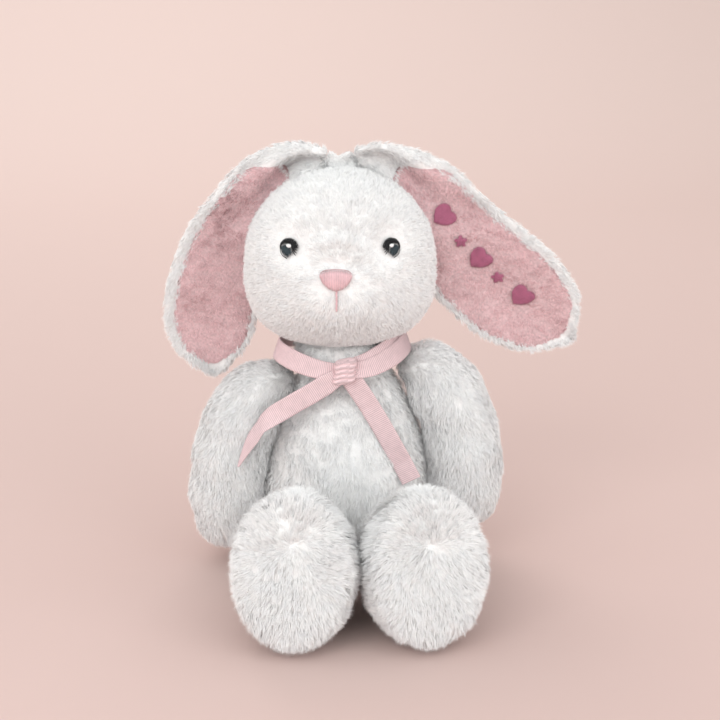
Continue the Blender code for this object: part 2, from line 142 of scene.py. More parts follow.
class BunnyFace(PropertyGroup):
    """Sizes and colours of the face stitching."""

    eye: length("Eye length", "Length of an eye along its slant", 0.0118)
    nose: length("Nose width", "Width of the nose", 0.0172)
    mouth: length("Mouth length", "Length of the mouth stitch", 0.0120)
    rose: colour_of("Nose thread", "Colour of the nose thread", (0.82, 0.55, 0.58))
    dark: colour_of("Eye thread", "Colour of the eye outline", (0.008, 0.009, 0.011))
    iris: colour_of("Iris thread", "Colour of the iris", (0.035, 0.052, 0.062))


class BunnyEars(PropertyGroup):
    """Sizes and colours of the ears."""

    layer: length("Thickness", "Thickness of an ear at its middle", 0.0046)
    border: length("Border", "Width of the white border round the lining", 0.0058)
    motif: colour_of("Motif thread", "Colour of the stitched hearts and flowers", (0.47, 0.15, 0.25))


class BunnyRibbon(PropertyGroup):
    """Sizes and colour of the ribbon."""

    width: length("Width", "Width of the ribbon", 0.0115)
    thickness: length("Thickness", "Thickness of the ribbon", 0.0006)
    rib: length("Rib pitch", "Distance between two cross ribs", 0.00105)
    colour: colour_of("Colour", "Colour of the ribbon", (0.86, 0.65, 0.67))


class BunnyStage(PropertyGroup):
    """Backdrop colour and light."""

    floor: colour_of("Backdrop", "Colour of the pale backdrop", (0.67, 0.54, 0.50))
    key: FloatProperty(name="Key light", description="Power of the main soft light", default=10.5, unit="POWER")
    fill: FloatProperty(name="Fill light", description="Power of the second soft light", default=8.0, unit="POWER")
    ambient: FloatProperty(name="Ambient", description="Strength of the light from all round", default=0.93)


def settings(name):
    """One of the groups of sizes and colours below the scene."""
    return getattr(bpy.context.scene, "bunny_" + name)


# ---------------------------------------------------------------- lines and meshes


def unit(rows):
    return rows / np.maximum(np.linalg.norm(rows, axis=-1, keepdims=True), 1e-12)


def smooth_line(points, steps):
    """A Catmull-Rom line through rows of numbers, steps to each span."""
    points = np.asarray(points, float)
    ends = np.vstack([points[:1], points, points[-1:]])
    t = np.arange(steps)[:, None] / steps
    spans = []
    for before, here, there, after in zip(ends, ends[1:], ends[2:], ends[3:]):
        bend = 2 * before - 5 * here + 4 * there - after
        twist = 3 * here - before - 3 * there + after
        spans.append(0.5 * (2 * here + (there - before) * t + bend * t**2 + twist * t**3))
    return np.vstack([*spans, points[-1:]])


def run_length(line):
    """The distance along a line at each of its points."""
    return np.concatenate([[0.0], np.cumsum(np.linalg.norm(np.diff(line, axis=0), axis=1))])


def evenly(line, count, extra=None):
    """count points evenly along a line. extra is more columns, carried along with it."""
    reach = run_length(line)
    spots = np.linspace(0, reach[-1], count)
    table = line if extra is None else np.column_stack([line, extra])
    return np.column_stack([np.interp(spots, reach, column) for column in table.T])


def ripple(points, size, seed):
    """A soft random swell over space, about -1 to 1, with hills of that size."""
    rng = np.random.default_rng(seed)
    waves = unit(rng.normal(size=(6, 3))) * TURN / size * rng.uniform(0.6, 1.4, (6, 1))
    phases = rng.random(6) * TURN
    return np.sin(points @ waves.T + phases).sum(1) / 2.6


def read(collection, name, width, kind=np.float32):
    """One attribute of every point or face, as rows."""
    values = np.empty(len(collection) * width, kind)
    collection.foreach_get(name, values)
    return values.reshape(-1, width)


def make_mesh(name, points, quads, triangles=(), slots=None):
    """A smooth mesh object from rows of points and faces."""
    quads = np.asarray(quads, np.int32).reshape(-1, 4)
    triangles = np.asarray(triangles, np.int32).reshape(-1, 3)
    mesh = bpy.data.meshes.new(name)
    mesh.vertices.add(len(points))
    mesh.vertices.foreach_set("co", np.asarray(points, np.float32).ravel())
    corners = np.concatenate([quads.ravel(), triangles.ravel()]).astype(np.int32)
    mesh.loops.add(len(corners))
    mesh.loops.foreach_set("vertex_index", corners)
    starts = np.concatenate([np.arange(len(quads)) * 4, quads.size + np.arange(len(triangles)) * 3])
    mesh.polygons.add(len(starts))
    mesh.polygons.foreach_set("loop_start", starts.astype(np.int32))
    if slots is not None:
        mesh.polygons.foreach_set("material_index", np.asarray(slots, np.int32))
    mesh.update(calc_edges=True)
    mesh.shade_smooth()
    obj = bpy.data.objects.new(name, mesh)
    bpy.context.scene.collection.objects.link(obj)
    return obj


def grid_quads(rows, columns, first=0):
    """The faces of a grid of points that closes round its columns."""
    row, column = np.meshgrid(np.arange(rows - 1), np.arange(columns), indexing="ij")
    after = (column + 1) % columns
    here = first + row * columns
    return np.stack([here + column, here + after, here + columns + after, here + columns + column], -1).reshape(-1, 4)


def face_out(obj):
    """Turns the faces of a closed mesh outwards."""
    obj.data.calc_loop_triangles()
    corners = read(obj.data.vertices, "co", 3)[read(obj.data.loop_triangles, "vertices", 3, np.int32)]
    if np.einsum("ij,ij->", corners[:, 0], np.cross(corners[:, 1], corners[:, 2])) < 0:
        obj.data.flip_normals()
    return obj


def loft(name, rings):
    """A closed skin over rings of points, with a point at the middle of each end."""
    rings = np.asarray(rings)
    rows, columns = rings.shape[:2]
    points = np.vstack([rings.reshape(-1, 3), rings[0].mean(0), rings[-1].mean(0)])
    around = np.arange(columns)
    after = (around + 1) % columns
    low = np.stack([np.full(columns, rows * columns), after, around], -1)
    last = (rows - 1) * columns
    high = np.stack([np.full(columns, rows * columns + 1), last + around, last + after], -1)
    return face_out(make_mesh(name, points, grid_quads(rows, columns), np.vstack([low, high])))


def tube_rings(line, radii, level, columns, tall=1.0):
    """Rings across a line, one at each of its points. tall stretches them across the level direction."""
    along = unit(np.gradient(line, axis=0))
    side = unit(np.cross(level, along))
    up = np.cross(along, side)
    angle = np.linspace(0, TURN, columns, endpoint=False)[:, None]
    side = side * np.broadcast_to(tall, len(line))[:, None]
    return line[:, None] + radii[:, None, None] * (side[:, None] * np.cos(angle) + up[:, None] * np.sin(angle))


def finished(obj):
    """Makes the object's modifiers part of its mesh."""
    graph = bpy.context.evaluated_depsgraph_get()
    mesh = bpy.data.meshes.new_from_object(obj.evaluated_get(graph))
    obj.modifiers.clear()
    obj.data = mesh
    mesh.shade_smooth()
    return obj


def move_points(obj, change):
    """Replaces a mesh's points with change(points, normals)."""
    points = read(obj.data.vertices, "co", 3)
    normals = read(obj.data.vertices, "normal", 3)
    obj.data.vertices.foreach_set("co", change(points, normals).astype(np.float32).ravel())
    obj.data.update()
    return obj


def stuffed(obj, voxel, most):
    """Fills a sewn form: even mesh, then Cloth with pressure inside, each point held to most metres of travel."""
    remesh = obj.modifiers.new("even mesh", "REMESH")
    remesh.mode = "VOXEL"
    remesh.voxel_size = voxel
    finished(obj)
    start = read(obj.data.vertices, "co", 3)
    cloth = obj.modifiers.new("stuffing", "CLOTH")
    cloth.settings.quality = 5
    cloth.settings.mass = 0.12
    cloth.settings.use_pressure = True
    cloth.settings.uniform_pressure_force = 4
    cloth.settings.effector_weights.gravity = 0
    cloth.point_cache.frame_end = 20
    for step in range(1, 21):
        bpy.context.scene.frame_set(step)
    finished(obj)
    bpy.context.scene.frame_set(1)

    def held(points, _):
        travel = points - start
        size = np.linalg.norm(travel, axis=1, keepdims=True)
        return start + travel * np.minimum(1, most / np.maximum(size, 1e-9))

    move_points(obj, held)
    obj.modifiers.new("round", "SUBSURF").levels = 1
    return finished(obj)


def surface_of(obj):
    """A ray-casting tree of a mesh that stands in the frame's coordinates."""
    points = [v.co for v in obj.data.vertices]
    return BVHTree.FromPolygons(points, [p.vertices for p in obj.data.polygons])


def from_front(tree, across, up):
    """The surface's points and outward normals straight behind the given places, as seen from the front."""
    places = []
    facings = []
    for x, z in zip(across, up):
        point, normal, _, _ = tree.ray_cast(Vector((x, -0.3, z)), Vector((0, 1, 0)))
        if point is None:
            raise RuntimeError(f"no cloth lies behind {x:.4f}, {z:.4f}")
        places.append(point)
        facings.append(normal if normal.y < 0 else -normal)
    return np.array(places), np.array(facings)


# ---------------------------------------------------------------- materials

# Sockets of a Mix node that is set to colours.
MIX_FACTOR, MIX_FIRST, MIX_SECOND, MIX_RESULT = 0, 6, 7, 2


def make_group(name, inputs, outputs):
    """A shader node group with named sockets, and its input and output nodes."""
    group = bpy.data.node_groups.new(name, "ShaderNodeTree")
    for label, kind, value in inputs:
        socket = group.interface.new_socket(label, in_out="INPUT", socket_type=kind)
        if value is not None:
            socket.default_value = value
    for label, kind in outputs:
        group.interface.new_socket(label, in_out="OUTPUT", socket_type=kind)
    return group, group.nodes.new("NodeGroupInput"), group.nodes.new("NodeGroupOutput")


def wire(tree, kind, values=(), links=(), **facts):
    """A node with its settings, its inputs' values and what feeds its inputs."""
    node = tree.nodes.new(kind)
    for key, value in facts.items():
        setattr(node, key, value)
    for key, value in dict(values).items():
        node.inputs[key].default_value = value
    for key, source in dict(links).items():
        tree.links.new(source, node.inputs[key])
    return node


def plush_group():
    """Cloth that carries pile: tufts of light and shade with larger brushed patches."""
    group, given, result = make_group(
        "brushed pile",
        [("Tip", "NodeSocketColor", (0.9, 0.9, 0.9, 1)), ("Root", "NodeSocketColor", (0.7, 0.7, 0.7, 1)),
         ("Tufts", "NodeSocketFloat", 700.0), ("Patches", "NodeSocketFloat", 45.0)],
        [("Colour", "NodeSocketColor"), ("Height", "NodeSocketFloat")],
    )
    place = wire(group, "ShaderNodeTexCoord").outputs["Object"]
    fine = wire(group, "ShaderNodeTexNoise", {"Detail": 3.0, "Roughness": 0.6},
                {"Vector": place, "Scale": given.outputs["Tufts"]})
    broad = wire(group, "ShaderNodeTexNoise", {"Detail": 2.0}, {"Vector": place, "Scale": given.outputs["Patches"]})
    both = wire(group, "ShaderNodeMath", {1: 0.35}, {0: broad.outputs["Fac"], 2: fine.outputs["Fac"]},
                operation="MULTIPLY_ADD")
    shade = wire(group, "ShaderNodeMapRange", {"From Min": 0.45, "From Max": 0.9}, {"Value": both.outputs[0]})
    ends = {MIX_FIRST: given.outputs["Root"], MIX_SECOND: given.outputs["Tip"]}
    colour = wire(group, "ShaderNodeMix", {}, {MIX_FACTOR: shade.outputs["Result"], **ends}, data_type="RGBA")
    group.links.new(colour.outputs[MIX_RESULT], result.inputs["Colour"])
    group.links.new(both.outputs[0], result.inputs["Height"])


def thread_group():
    """Twisted thread: fine slanting lines of light and shade, at a pitch, over a slow change of tone."""
    group, given, result = make_group(
        "twisted thread",
        [("Colour", "NodeSocketColor", (0.5, 0.5, 0.5, 1)), ("Twist", "NodeSocketFloat", 2600.0),
         ("Depth", "NodeSocketFloat", 0.35)],
        [("Colour", "NodeSocketColor"), ("Height", "NodeSocketFloat")],
    )
    place = wire(group, "ShaderNodeTexCoord").outputs["Object"]
    lines = wire(group, "ShaderNodeTexWave", {"Distortion": 1.2, "Detail": 2.0},
                 {"Vector": place, "Scale": given.outputs["Twist"]}, bands_direction="DIAGONAL")
    drift = wire(group, "ShaderNodeTexNoise", {"Scale": 260.0, "Detail": 2.0}, {"Vector": place})
    both = wire(group, "ShaderNodeMath", {1: 0.5}, {0: lines.outputs["Fac"], 2: drift.outputs["Fac"]},
                operation="MULTIPLY_ADD")
    low = wire(group, "ShaderNodeMath", {0: 1.0}, {1: given.outputs["Depth"]}, operation="SUBTRACT")
    dark = wire(group, "ShaderNodeMapRange", {"From Min": 0.3, "From Max": 1.0, "To Max": 1.12},
                {"Value": both.outputs[0], "To Min": low.outputs[0]})
    tone = wire(group, "ShaderNodeVectorMath", {}, {0: given.outputs["Colour"], "Scale": dark.outputs["Result"]},
                operation="SCALE")
    group.links.new(tone.outputs["Vector"], result.inputs["Colour"])
    group.links.new(both.outputs[0], result.inputs["Height"])


def plain_material(name, colour, roughness, sheen=0.0):
    """A soft fabric finish of one colour, for strands so small that their colour comes from their own shading."""
    material = bpy.data.materials.new(name)
    material.use_nodes = True
    shader = material.node_tree.nodes["Principled BSDF"]
    shader.inputs["Base Color"].default_value = (*colour, 1)
    shader.inputs["Roughness"].default_value = roughness
    shader.inputs["Specular IOR Level"].default_value = 0.25
    shader.inputs["Sheen Weight"].default_value = sheen
    shader.inputs["Sheen Roughness"].default_value = 0.4
    return material


def grouped_material(name, group, values, roughness, bump, sheen=0.0):
    """A material whose colour and bump come from one of the shared groups, with its own values. Colours are tuples."""
    material = plain_material(name, (0.8, 0.8, 0.8), roughness, sheen)
    tree = material.node_tree
    shader = tree.nodes["Principled BSDF"]
    node = tree.nodes.new("ShaderNodeGroup")
    node.node_tree = bpy.data.node_groups[group]
    for key, value in values.items():
        node.inputs[key].default_value = (*value, 1) if isinstance(value, tuple) else value
    height = wire(tree, "ShaderNodeBump", {"Strength": 0.6, "Distance": bump}, {"Height": node.outputs["Height"]})
    tree.links.new(node.outputs["Colour"], shader.inputs["Base Color"])
    tree.links.new(height.outputs["Normal"], shader.inputs["Normal"])
    return material


def tinted(colour, factor):
    """The colour made lighter or darker."""
    return tuple(min(1.0, c * factor) for c in colour)


def make_materials():
    """Every finish of the toy, by name."""
    plush_group()
    thread_group()
    pile = settings("pile")
    face = settings("face")
    white, pink = tuple(pile.white), tuple(pile.pink)
    cool = (white[0] * 0.985, white[1] * 0.99, white[2])
    rose = tuple(face.rose)
    ribbon = tuple(settings("ribbon").colour)
    for name, values, roughness, bump in (
        ("plush backing", {"Tip": tinted(white, 0.97), "Root": tinted(white, 0.88)}, 0.95, 0.0006),
        ("velour backing", {"Tip": tinted(pink, 0.95), "Root": tinted(pink, 0.60), "Patches": 70.0}, 0.9, 0.0004),
        ("loose fibre", {"Tip": (0.9, 0.9, 0.88), "Root": (0.7, 0.7, 0.68), "Tufts": 350.0}, 1.0, 0.001),
        ("bean cotton", {"Tip": (0.78, 0.74, 0.66), "Root": (0.6, 0.56, 0.5), "Tufts": 500.0}, 0.9, 0.001),
    ):
        grouped_material(name, "brushed pile", values, roughness, bump)
    for name, colour, roughness, sheen in (
        # Root finishes are darker than tip finishes: painted shade down among the strands, lighter at the tips.
        ("pile root", tinted(white, 0.96), 0.9, 0.1), ("pile tip", white, 0.85, 0.25),
        ("pile root cool", tinted(cool, 0.92), 0.9, 0.1), ("pile tip cool", tinted(cool, 0.97), 0.85, 0.25),
        ("velour root", tinted(pink, 0.92), 0.85, 0.1), ("velour tip", tinted(pink, 1.06), 0.7, 0.35),
        ("velour root shade", tinted(pink, 0.84), 0.85, 0.1), ("velour tip shade", tinted(pink, 0.94), 0.7, 0.35),
    ):
        plain_material(name, colour, roughness, sheen)
    for name, colour, depth in (
        ("rose thread", rose, 0.25), ("deep rose thread", tinted(rose, 0.72), 0.3),
        ("pale rose thread", tinted(rose, 0.90), 0.25), ("eye thread", tuple(face.dark), 0.3),
        ("iris thread", tuple(face.iris), 0.4), ("light thread", (0.9, 0.9, 0.9), 0.15),
        ("motif thread", tuple(settings("ears").motif), 0.3),
    ):
        grouped_material(name, "twisted thread", {"Colour": colour, "Depth": depth}, 0.42, 0.0001, 0.2)
    for name, colour, twist, depth, roughness, sheen in (
        ("grosgrain", ribbon, 1500.0, 0.10, 0.5, 0.3),
        # The darker grosgrain finish is painted shade, laid on alternate rib faces and on the knot's folds.
        ("grosgrain painted shade", tinted(ribbon, 0.72), 1500.0, 0.03, 0.6, 0.3),
        ("label satin", (0.85, 0.85, 0.84), 1200.0, 0.08, 0.4, 0.0),
    ):
        grouped_material(name, "twisted thread", {"Colour": colour, "Twist": twist, "Depth": depth}, roughness, 0.00006,
                         sheen)


def dressed(obj, *names):
    """Gives the object these finishes, in the order of its faces' slots."""
    for name in names:
        obj.data.materials.append(bpy.data.materials[name])
    return obj


# ---------------------------------------------------------------- bodies


def stands_for(obj, slot, *nodes):
    """Hides the CAD nodes that the piece replaces; slot is not used."""
    if nodes:
        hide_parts(*nodes)
    return obj


def placed(obj, body, slot, *nodes):
    """Rides the piece on its body."""
    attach(obj, body)
    return stands_for(obj, slot, *nodes)


def joined(obj, parent, body, span, slot, *nodes):
    """Bakes the piece's place into its mesh and hides the CAD nodes that it replaces; parent, body and span are not
    used.
    """
    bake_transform(obj)
    return stands_for(obj, slot, *nodes)


# ---------------------------------------------------------------- pile


def scatter(obj, count, rng):
    """Places spread evenly over a mesh, with the smooth normal at each."""
    obj.data.calc_loop_triangles()
    triangles = read(obj.data.loop_triangles, "vertices", 3, np.int32)
    corners = read(obj.data.vertices, "co", 3).astype(float)[triangles]
    normals = read(obj.data.vertices, "normal", 3).astype(float)[triangles]
    size = np.linalg.norm(np.cross(corners[:, 1] - corners[:, 0], corners[:, 2] - corners[:, 0]), axis=1)
    reach = np.cumsum(size)
    picked = np.searchsorted(reach, rng.random(count) * reach[-1] * 0.999999)
    a, b = rng.random((2, count))
    over = a + b > 1
    a[over], b[over] = 1 - a[over], 1 - b[over]
    shares = np.stack([1 - a - b, a, b], -1)[:, :, None]
    return (corners[picked] * shares).sum(1), unit((normals[picked] * shares).sum(1))


def grow_pile(name, backing, strands, length, lean, comb, shades, trim=None, tuft=0.0017, gather=0.28, swirl=0.3,
              streaks=0.10):
    """Tufts of tapering strands on a backing. comb gives the way they lie, and trim the share of their length."""
    pile = settings("pile")
    rng = np.random.default_rng([pile.seed, sum(map(ord, name))])
    roots, normals = scatter(backing, strands // PER_TUFT, rng)
    cover = np.ones(len(roots)) if trim is None else trim(roots)
    kept = cover > 0.02 + 0.35 * rng.random(len(roots))
    roots, normals, cover = roots[kept], normals[kept], cover[kept]
    flow = unit(comb(roots, normals))
    flow = flow + swirl * np.stack([ripple(roots, 0.022, k) for k in range(3)], -1)
    flow = unit(flow - normals * (flow * normals).sum(1, keepdims=True))
    size = length * cover * (1 + 0.12 * ripple(roots, 0.012, 5)) * rng.uniform(0.88, 1.10, len(roots))
    tilt = lean + streaks * ripple(roots, 0.009, 9) + rng.normal(0, 0.06, len(roots))
    veer = rng.normal(0, 0.16, len(roots))
    cool = rng.random(len(roots)) < 0.5 + 0.1 * ripple(roots, 0.015, 11)

    def each(values):
        return np.repeat(values, PER_TUFT, axis=0)

    roots, normals, flow, size = each(roots), each(normals), each(flow), each(size)[:, None]
    total = len(roots)
    side = np.cross(normals, flow)
    turn = rng.random(total)[:, None] * TURN
    spread = (flow * np.cos(turn) + side * np.sin(turn)) * (tuft * np.sqrt(rng.random(total)))[:, None]
    veer = (each(veer) + rng.normal(0, 0.16, total))[:, None]
    heading = flow * np.cos(veer) + side * np.sin(veer)
    tilt = (each(tilt) + rng.normal(0, 0.09, total))[:, None]
    size = size * rng.uniform(0.7, 1.08, (total, 1))
    root = roots + spread - normals * 0.0005
    lower = normals * np.cos(tilt - 0.32) + heading * np.sin(tilt - 0.32)
    upper = normals * np.cos(tilt + 0.36) + heading * np.sin(tilt + 0.36)
    middle = root + lower * size * 0.5 - spread * gather * 0.3
    tip = middle + upper * size * 0.5 - spread * gather * 0.7
    roll = rng.normal(0, 0.5, (total, 1))
    flat = (np.cross(normals, heading) * np.cos(roll) + normals * np.sin(roll)) * rng.uniform(0.4, 0.62, (total, 1))
    flat = flat * pile.strand
    points = np.stack([root - flat, root + flat, middle - 0.8 * flat, middle + 0.8 * flat, tip], 1)
    points[..., 2] = np.maximum(points[..., 2], FLOOR_CLEARANCE)
    first = np.arange(total)[:, None] * 5
    # Root segments take a root finish and tips a tip finish, so the roots carry painted shade.
    slots = 2 * each(cool).astype(int)
    obj = make_mesh(name, points.reshape(-1, 3), first + [1, 0, 2, 3], first + [3, 2, 4],
                    np.concatenate([slots, slots + 1]))
    return dressed(obj, *shades)


# Each list holds a root and a tip finish for two tones; the darker roots are painted shade.
WHITE_PILE = ("pile root", "pile tip", "pile root cool", "pile tip cool")
PINK_PILE = ("velour root", "velour tip", "velour root shade", "velour tip shade")


def downwards(points, _):
    """A comb: every strand hangs down."""
    return np.broadcast_to([0.0, 0.0, -1.0], points.shape)


def away_from(centre, pull=(0, 0, 0)):
    """A comb: strands spread from a point, with a steady pull on top."""
    return lambda points, _: unit(points - np.asarray(centre)) + np.asarray(pull)


# ---------------------------------------------------------------- thread


def threads(name, runs, radius, flatness=0.75):
    """Raised stitches in one mesh. Each run is (points, normals, slot): a line on the cloth and the finish's number."""
    sides = 6
    angle = np.linspace(0, TURN, sides, endpoint=False)[:, None]
    points, quads, caps, quad_slots, cap_slots = [], [], [], [], []
    first = 0
    for line, facing, slot in runs:
        count = len(line)
        along = unit(np.gradient(line, axis=0))
        side = unit(np.cross(along, facing))
        taper = np.ones(count)
        taper[[0, -1]] = 0.45
        ring = side[:, None] * np.cos(angle) + facing[:, None] * np.sin(angle) * flatness
        points.append((line[:, None] + ring * (radius * taper)[:, None, None]).reshape(-1, 3))
        quads.append(grid_quads(count, sides, first))
        fan = np.array([[0, k, k + 1] for k in range(1, sides - 1)])
        caps += [first + fan[:, ::-1], first + (count - 1) * sides + fan]
        quad_slots += [slot] * len(quads[-1])
        cap_slots += [slot] * (2 * len(fan))
        first += count * sides
    obj = make_mesh(name, np.vstack(points), np.vstack(quads), np.vstack(caps), quad_slots + cap_slots)
    return face_out(obj)


def satin(label, reach, pitch, angle):
    """Parallel stitches that fill a flat shape, as (x, z, slot). label gives each place's slot, or -1 if bare."""
    runs = []
    along = np.arange(-reach, reach, 0.00025)
    for across in np.arange(-reach, reach, pitch):
        x = across * math.cos(angle) - along * math.sin(angle)
        z = across * math.sin(angle) + along * math.cos(angle)
        marks = label(x, z)
        for part in np.split(np.arange(len(along)), np.flatnonzero(np.diff(marks)) + 1):
            if marks[part[0]] >= 0 and len(part) > 2:
                few = part[np.linspace(0, len(part) - 1, max(3, len(part) // 5)).astype(int)]
                runs.append((x[few], z[few], marks[part[0]]))
    return runs


def laid(tree, flat_runs, centre, lift, dome=0.0):
    """Flat runs laid on a surface as seen from the front, raised by lift and by dome at each run's middle."""
    runs = []
    for x, z, slot in flat_runs:
        line, facing = from_front(tree, centre[0] + x, centre[1] + z)
        arch = np.sin(np.linspace(0, math.pi, len(x)))[:, None]
        runs.append((line + facing * (lift + dome * arch), facing, slot))
    return runs


# ---------------------------------------------------------------- torso


def torso_rings(inset, low, high, count, columns):
    """Rings round the torso's form between two heights, inset metres inside the CAD's skin."""
    outline = smooth_line(TORSO_PROFILE, 8)
    heights = np.linspace(low, high, count)
    radii = np.interp(heights, outline[:, 1], outline[:, 0]) - inset
    radii[[0, -1]] *= 0.93
    angle = np.linspace(0, TURN, columns, endpoint=False)
    return np.stack([
        radii[:, None] * np.cos(angle),
        radii[:, None] * np.sin(angle) * TORSO_DEPTH + TORSO_MIDDLE_Y,
        np.repeat(heights[:, None], columns, axis=1),
    ], -1)


def belly_depth(across, height):
    """How far forward the torso's CAD skin is."""
    outline = smooth_line(TORSO_PROFILE, 8)
    radius = np.interp(height, outline[:, 1], outline[:, 0])
    share = np.clip(across / radius, -1, 1)
    return TORSO_MIDDLE_Y - radius * TORSO_DEPTH * np.sqrt(1 - share * share)


def seam_valley(obj, distance, depth, width):
    """Pulls the cloth in along a seam. distance gives how far each point is from it."""
    return move_points(obj, lambda p, n: p - n * (depth * np.exp(-(distance(p) / width) ** 2))[:, None])


def batting(name, backing, inset):
    """The loose filling inside a sewn form: the same mesh, smaller and lumpy."""
    obj = backing.copy()
    obj.data = backing.data.copy()
    obj.name = name
    bpy.context.scene.collection.objects.link(obj)
    move_points(obj, lambda p, n: p - n * (inset + 0.0006 * ripple(p, 0.012, 3))[:, None])
    return dressed(obj, "loose fibre")


class BUNNY_OT_torso(Operator):
    """Sewn torso with its seat, filling, bean pouch and body plush"""

    bl_idname = "bunny.torso"
    bl_label = "Torso"

    def execute(self, context):
        backing = loft("torso_cloth", torso_rings(-0.0008, 0.0032, 0.1215, 34, 40))
        stuffed(backing, 0.0045, 0.0015)
        seam_valley(backing, lambda p: p[:, 0], 0.0011, 0.0022)
        seam_valley(backing, lambda p: p[:, 1] - TORSO_MIDDLE_Y, 0.0008, 0.0022)
        filling = placed(batting("torso_batting", backing, 0.0045), "torso", "fibre_fill", "torso_stuffing")
        placed(dressed(backing, "plush backing"), "torso", "white_plush", "torso_front_panel", "torso_back_panel")
        pouch = loft("bean_pouch_cloth", torso_rings(0.009, 0.0065, 0.022, 8, 32))
        placed(dressed(pouch, "bean cotton"), "torso", "bean_fill", "bean_pouch")
        seat_rings = torso_rings(BACKING_DEPTH + 0.002, 0.0032, 0.0034, 3, 40)
        seat_rings[:, :, 2] = np.array([0.0010, 0.0018, 0.0030])[:, None]
        seat = loft("seat_cloth", seat_rings)
        placed(dressed(seat, "plush backing"), "torso", "white_plush", "seat_panel")

        def beside_seams(points):
            seam = np.minimum(np.abs(points[:, 0]), np.abs(points[:, 1] - TORSO_MIDDLE_Y))
            low = np.clip((points[:, 2] - 0.004) / 0.006, 0.25, 1)
            high = np.clip((0.1225 - points[:, 2]) / 0.012, 0.45, 1)
            return np.clip(0.55 + seam / 0.004, 0, 1) * low * high

        length = settings("pile").body
        for name, behind in (("torso_front_plush", False), ("torso_back_plush", True)):
            def trim(points, behind=behind):
                return beside_seams(points) * ((points[:, 1] > TORSO_MIDDLE_Y) == behind)

            placed(grow_pile(name, backing, 60000, length, 1.0, downwards, WHITE_PILE, trim), "torso", "white_plush")
        short = grow_pile("seat_plush", seat, 5000, 0.0022, 1.3, away_from((0, 0, 0.002)), WHITE_PILE,
                          lambda p: np.where(p[:, 2] < 0.0028, 1.0, 0.4))
        placed(short, "torso", "white_plush")
        return {"FINISHED"}


class BUNNY_OT_neck(Operator):
    """Filled neck between the torso and the head"""

    bl_idname = "bunny.neck"
    bl_label = "Neck"

    def execute(self, context):
        heights = np.linspace(0.1120, 0.1370, 14)
        swell = np.sqrt(np.clip(1 - ((heights - 0.1245) / 0.0132) ** 2, 0.05, 1))
        line = np.column_stack([np.full(14, -0.001), np.full(14, 0.002), heights])
        collar = loft("neck_cloth", tube_rings(line, 0.0268 * swell, TOWARDS_BACK, 36))
        placed(dressed(collar, "plush backing"), "neck", "white_plush", "neck_stuffing")
        plush = grow_pile("neck_plush", collar, 16000, 0.0046, 0.80, downwards, WHITE_PILE)
        placed(plush, "neck", "white_plush")
        return {"FINISHED"}


class BUNNY_OT_tail(Operator):
    """Round tail and the blank folded label beside it"""

    bl_idname = "bunny.tail"
    bl_label = "Tail and label"

    def execute(self, context):
        angles = np.linspace(0.12, math.pi - 0.12, 18)
        line = TAIL_CENTRE + np.outer(-np.cos(angles) * 0.0115, [0, 0, 1])
        ball = loft("tail_cloth", tube_rings(line, 0.0115 * np.sin(angles), TOWARDS_BACK, 28))
        placed(dressed(ball, "plush backing"), "torso", "white_plush", "tail_pompom")
        fluff = grow_pile("tail_plush", ball, 20000, settings("pile").tail, 0.90,
                          away_from(TAIL_CENTRE + [0, 0.006, 0.030]), WHITE_PILE, swirl=0.35)
        placed(fluff, "torso", "white_plush")
        self.make_label()
        return {"FINISHED"}

    def make_label(self):
        """A satin strip folded in half, with its ends caught in the seam."""
        turn = math.radians(-28)
        centre = np.array([0.027, 0.0462, 0.0175])
        outward = np.array([-math.sin(turn), math.cos(turn), 0])
        beside = np.array([math.cos(turn), math.sin(turn), 0])
        fold = smooth_line([(-0.0080, 0.0085), (-0.0011, 0.0060), (-0.0008, -0.0040), (0.0, -0.0080),
                            (0.0010, -0.0040), (0.0013, 0.0058), (-0.0078, 0.0078)], 10)
        line = centre + np.outer(fold[:, 0], outward) + np.outer(fold[:, 1], [0, 0, 1])
        across = np.broadcast_to(beside, line.shape)
        label = strip("blank_label_cloth", line, across, 0.0120, 0.00025, 0.0004, 0.00002)
        placed(dressed(label, "label satin", "label satin"), "torso", "satin_label", "blank_label")
        float(run_length(line)[-1])


# ---------------------------------------------------------------- head


def head_points(directions, inset):
    """The head's cloth in each direction from its centre: cheeks, forehead, muzzle, eye sockets and mouth crease."""
    x, y, z = np.moveaxis(directions, -1, 0)
    power = 2.15 + 0.75 / (1 + np.exp(6 * z))
    full = (np.hypot(x, y) ** power + np.abs(z) ** power) ** (-1 / power)
    x, y, z = x * full, y * full, z * full
    front = 1 / (1 + np.exp(np.clip(18 * (y + 0.12), -40, 40)))
    cheeks = 1 - 0.07 * z - 0.05 * z * z
    half = HEAD_HALF - inset
    across = x * half[0] * cheeks
    up = z * half[2] * np.where(z < 0, 0.955, 0.985)
    inward = across - FACE_TURN
    rise = MUZZLE_RISE * np.exp(-((inward / 0.030) ** 4) - ((up + 0.0105) / 0.0210) ** 4)
    ridge = up - (0.0168 - 22.0 * inward**2)
    rise = rise + 0.0027 * np.exp(-((ridge / 0.0026) ** 2) - (inward / 0.019) ** 4)
    rise = rise - 0.0034 * np.exp(-((inward / 0.0115) ** 2) - ((up - NOSE_UP - 0.0072) / 0.0030) ** 2)
    sockets = ((np.abs(across - EYE_TURN) - EYE_OUT + 0.002) / 0.0090) ** 2 + ((up - EYE_UP) / 0.0080) ** 2
    rise = rise - 0.0042 * np.exp(-sockets)
    puffs = ((np.abs(inward) - 0.0115) / 0.0085) ** 2 + ((up + 0.0150) / 0.0085) ** 2
    rise = rise + 0.0020 * np.exp(-puffs)
    crease = np.exp(-((inward / 0.0021) ** 2)) / (1 + np.exp(np.clip((up + 0.0070) / 0.0012, -40, 40)))
    rise = rise - 0.0018 * crease * np.exp(-((up + 0.0145) / 0.0135) ** 4)
    points = np.stack([across, y * half[1] - rise * front, up], -1)
    return HEAD_CENTRE + points


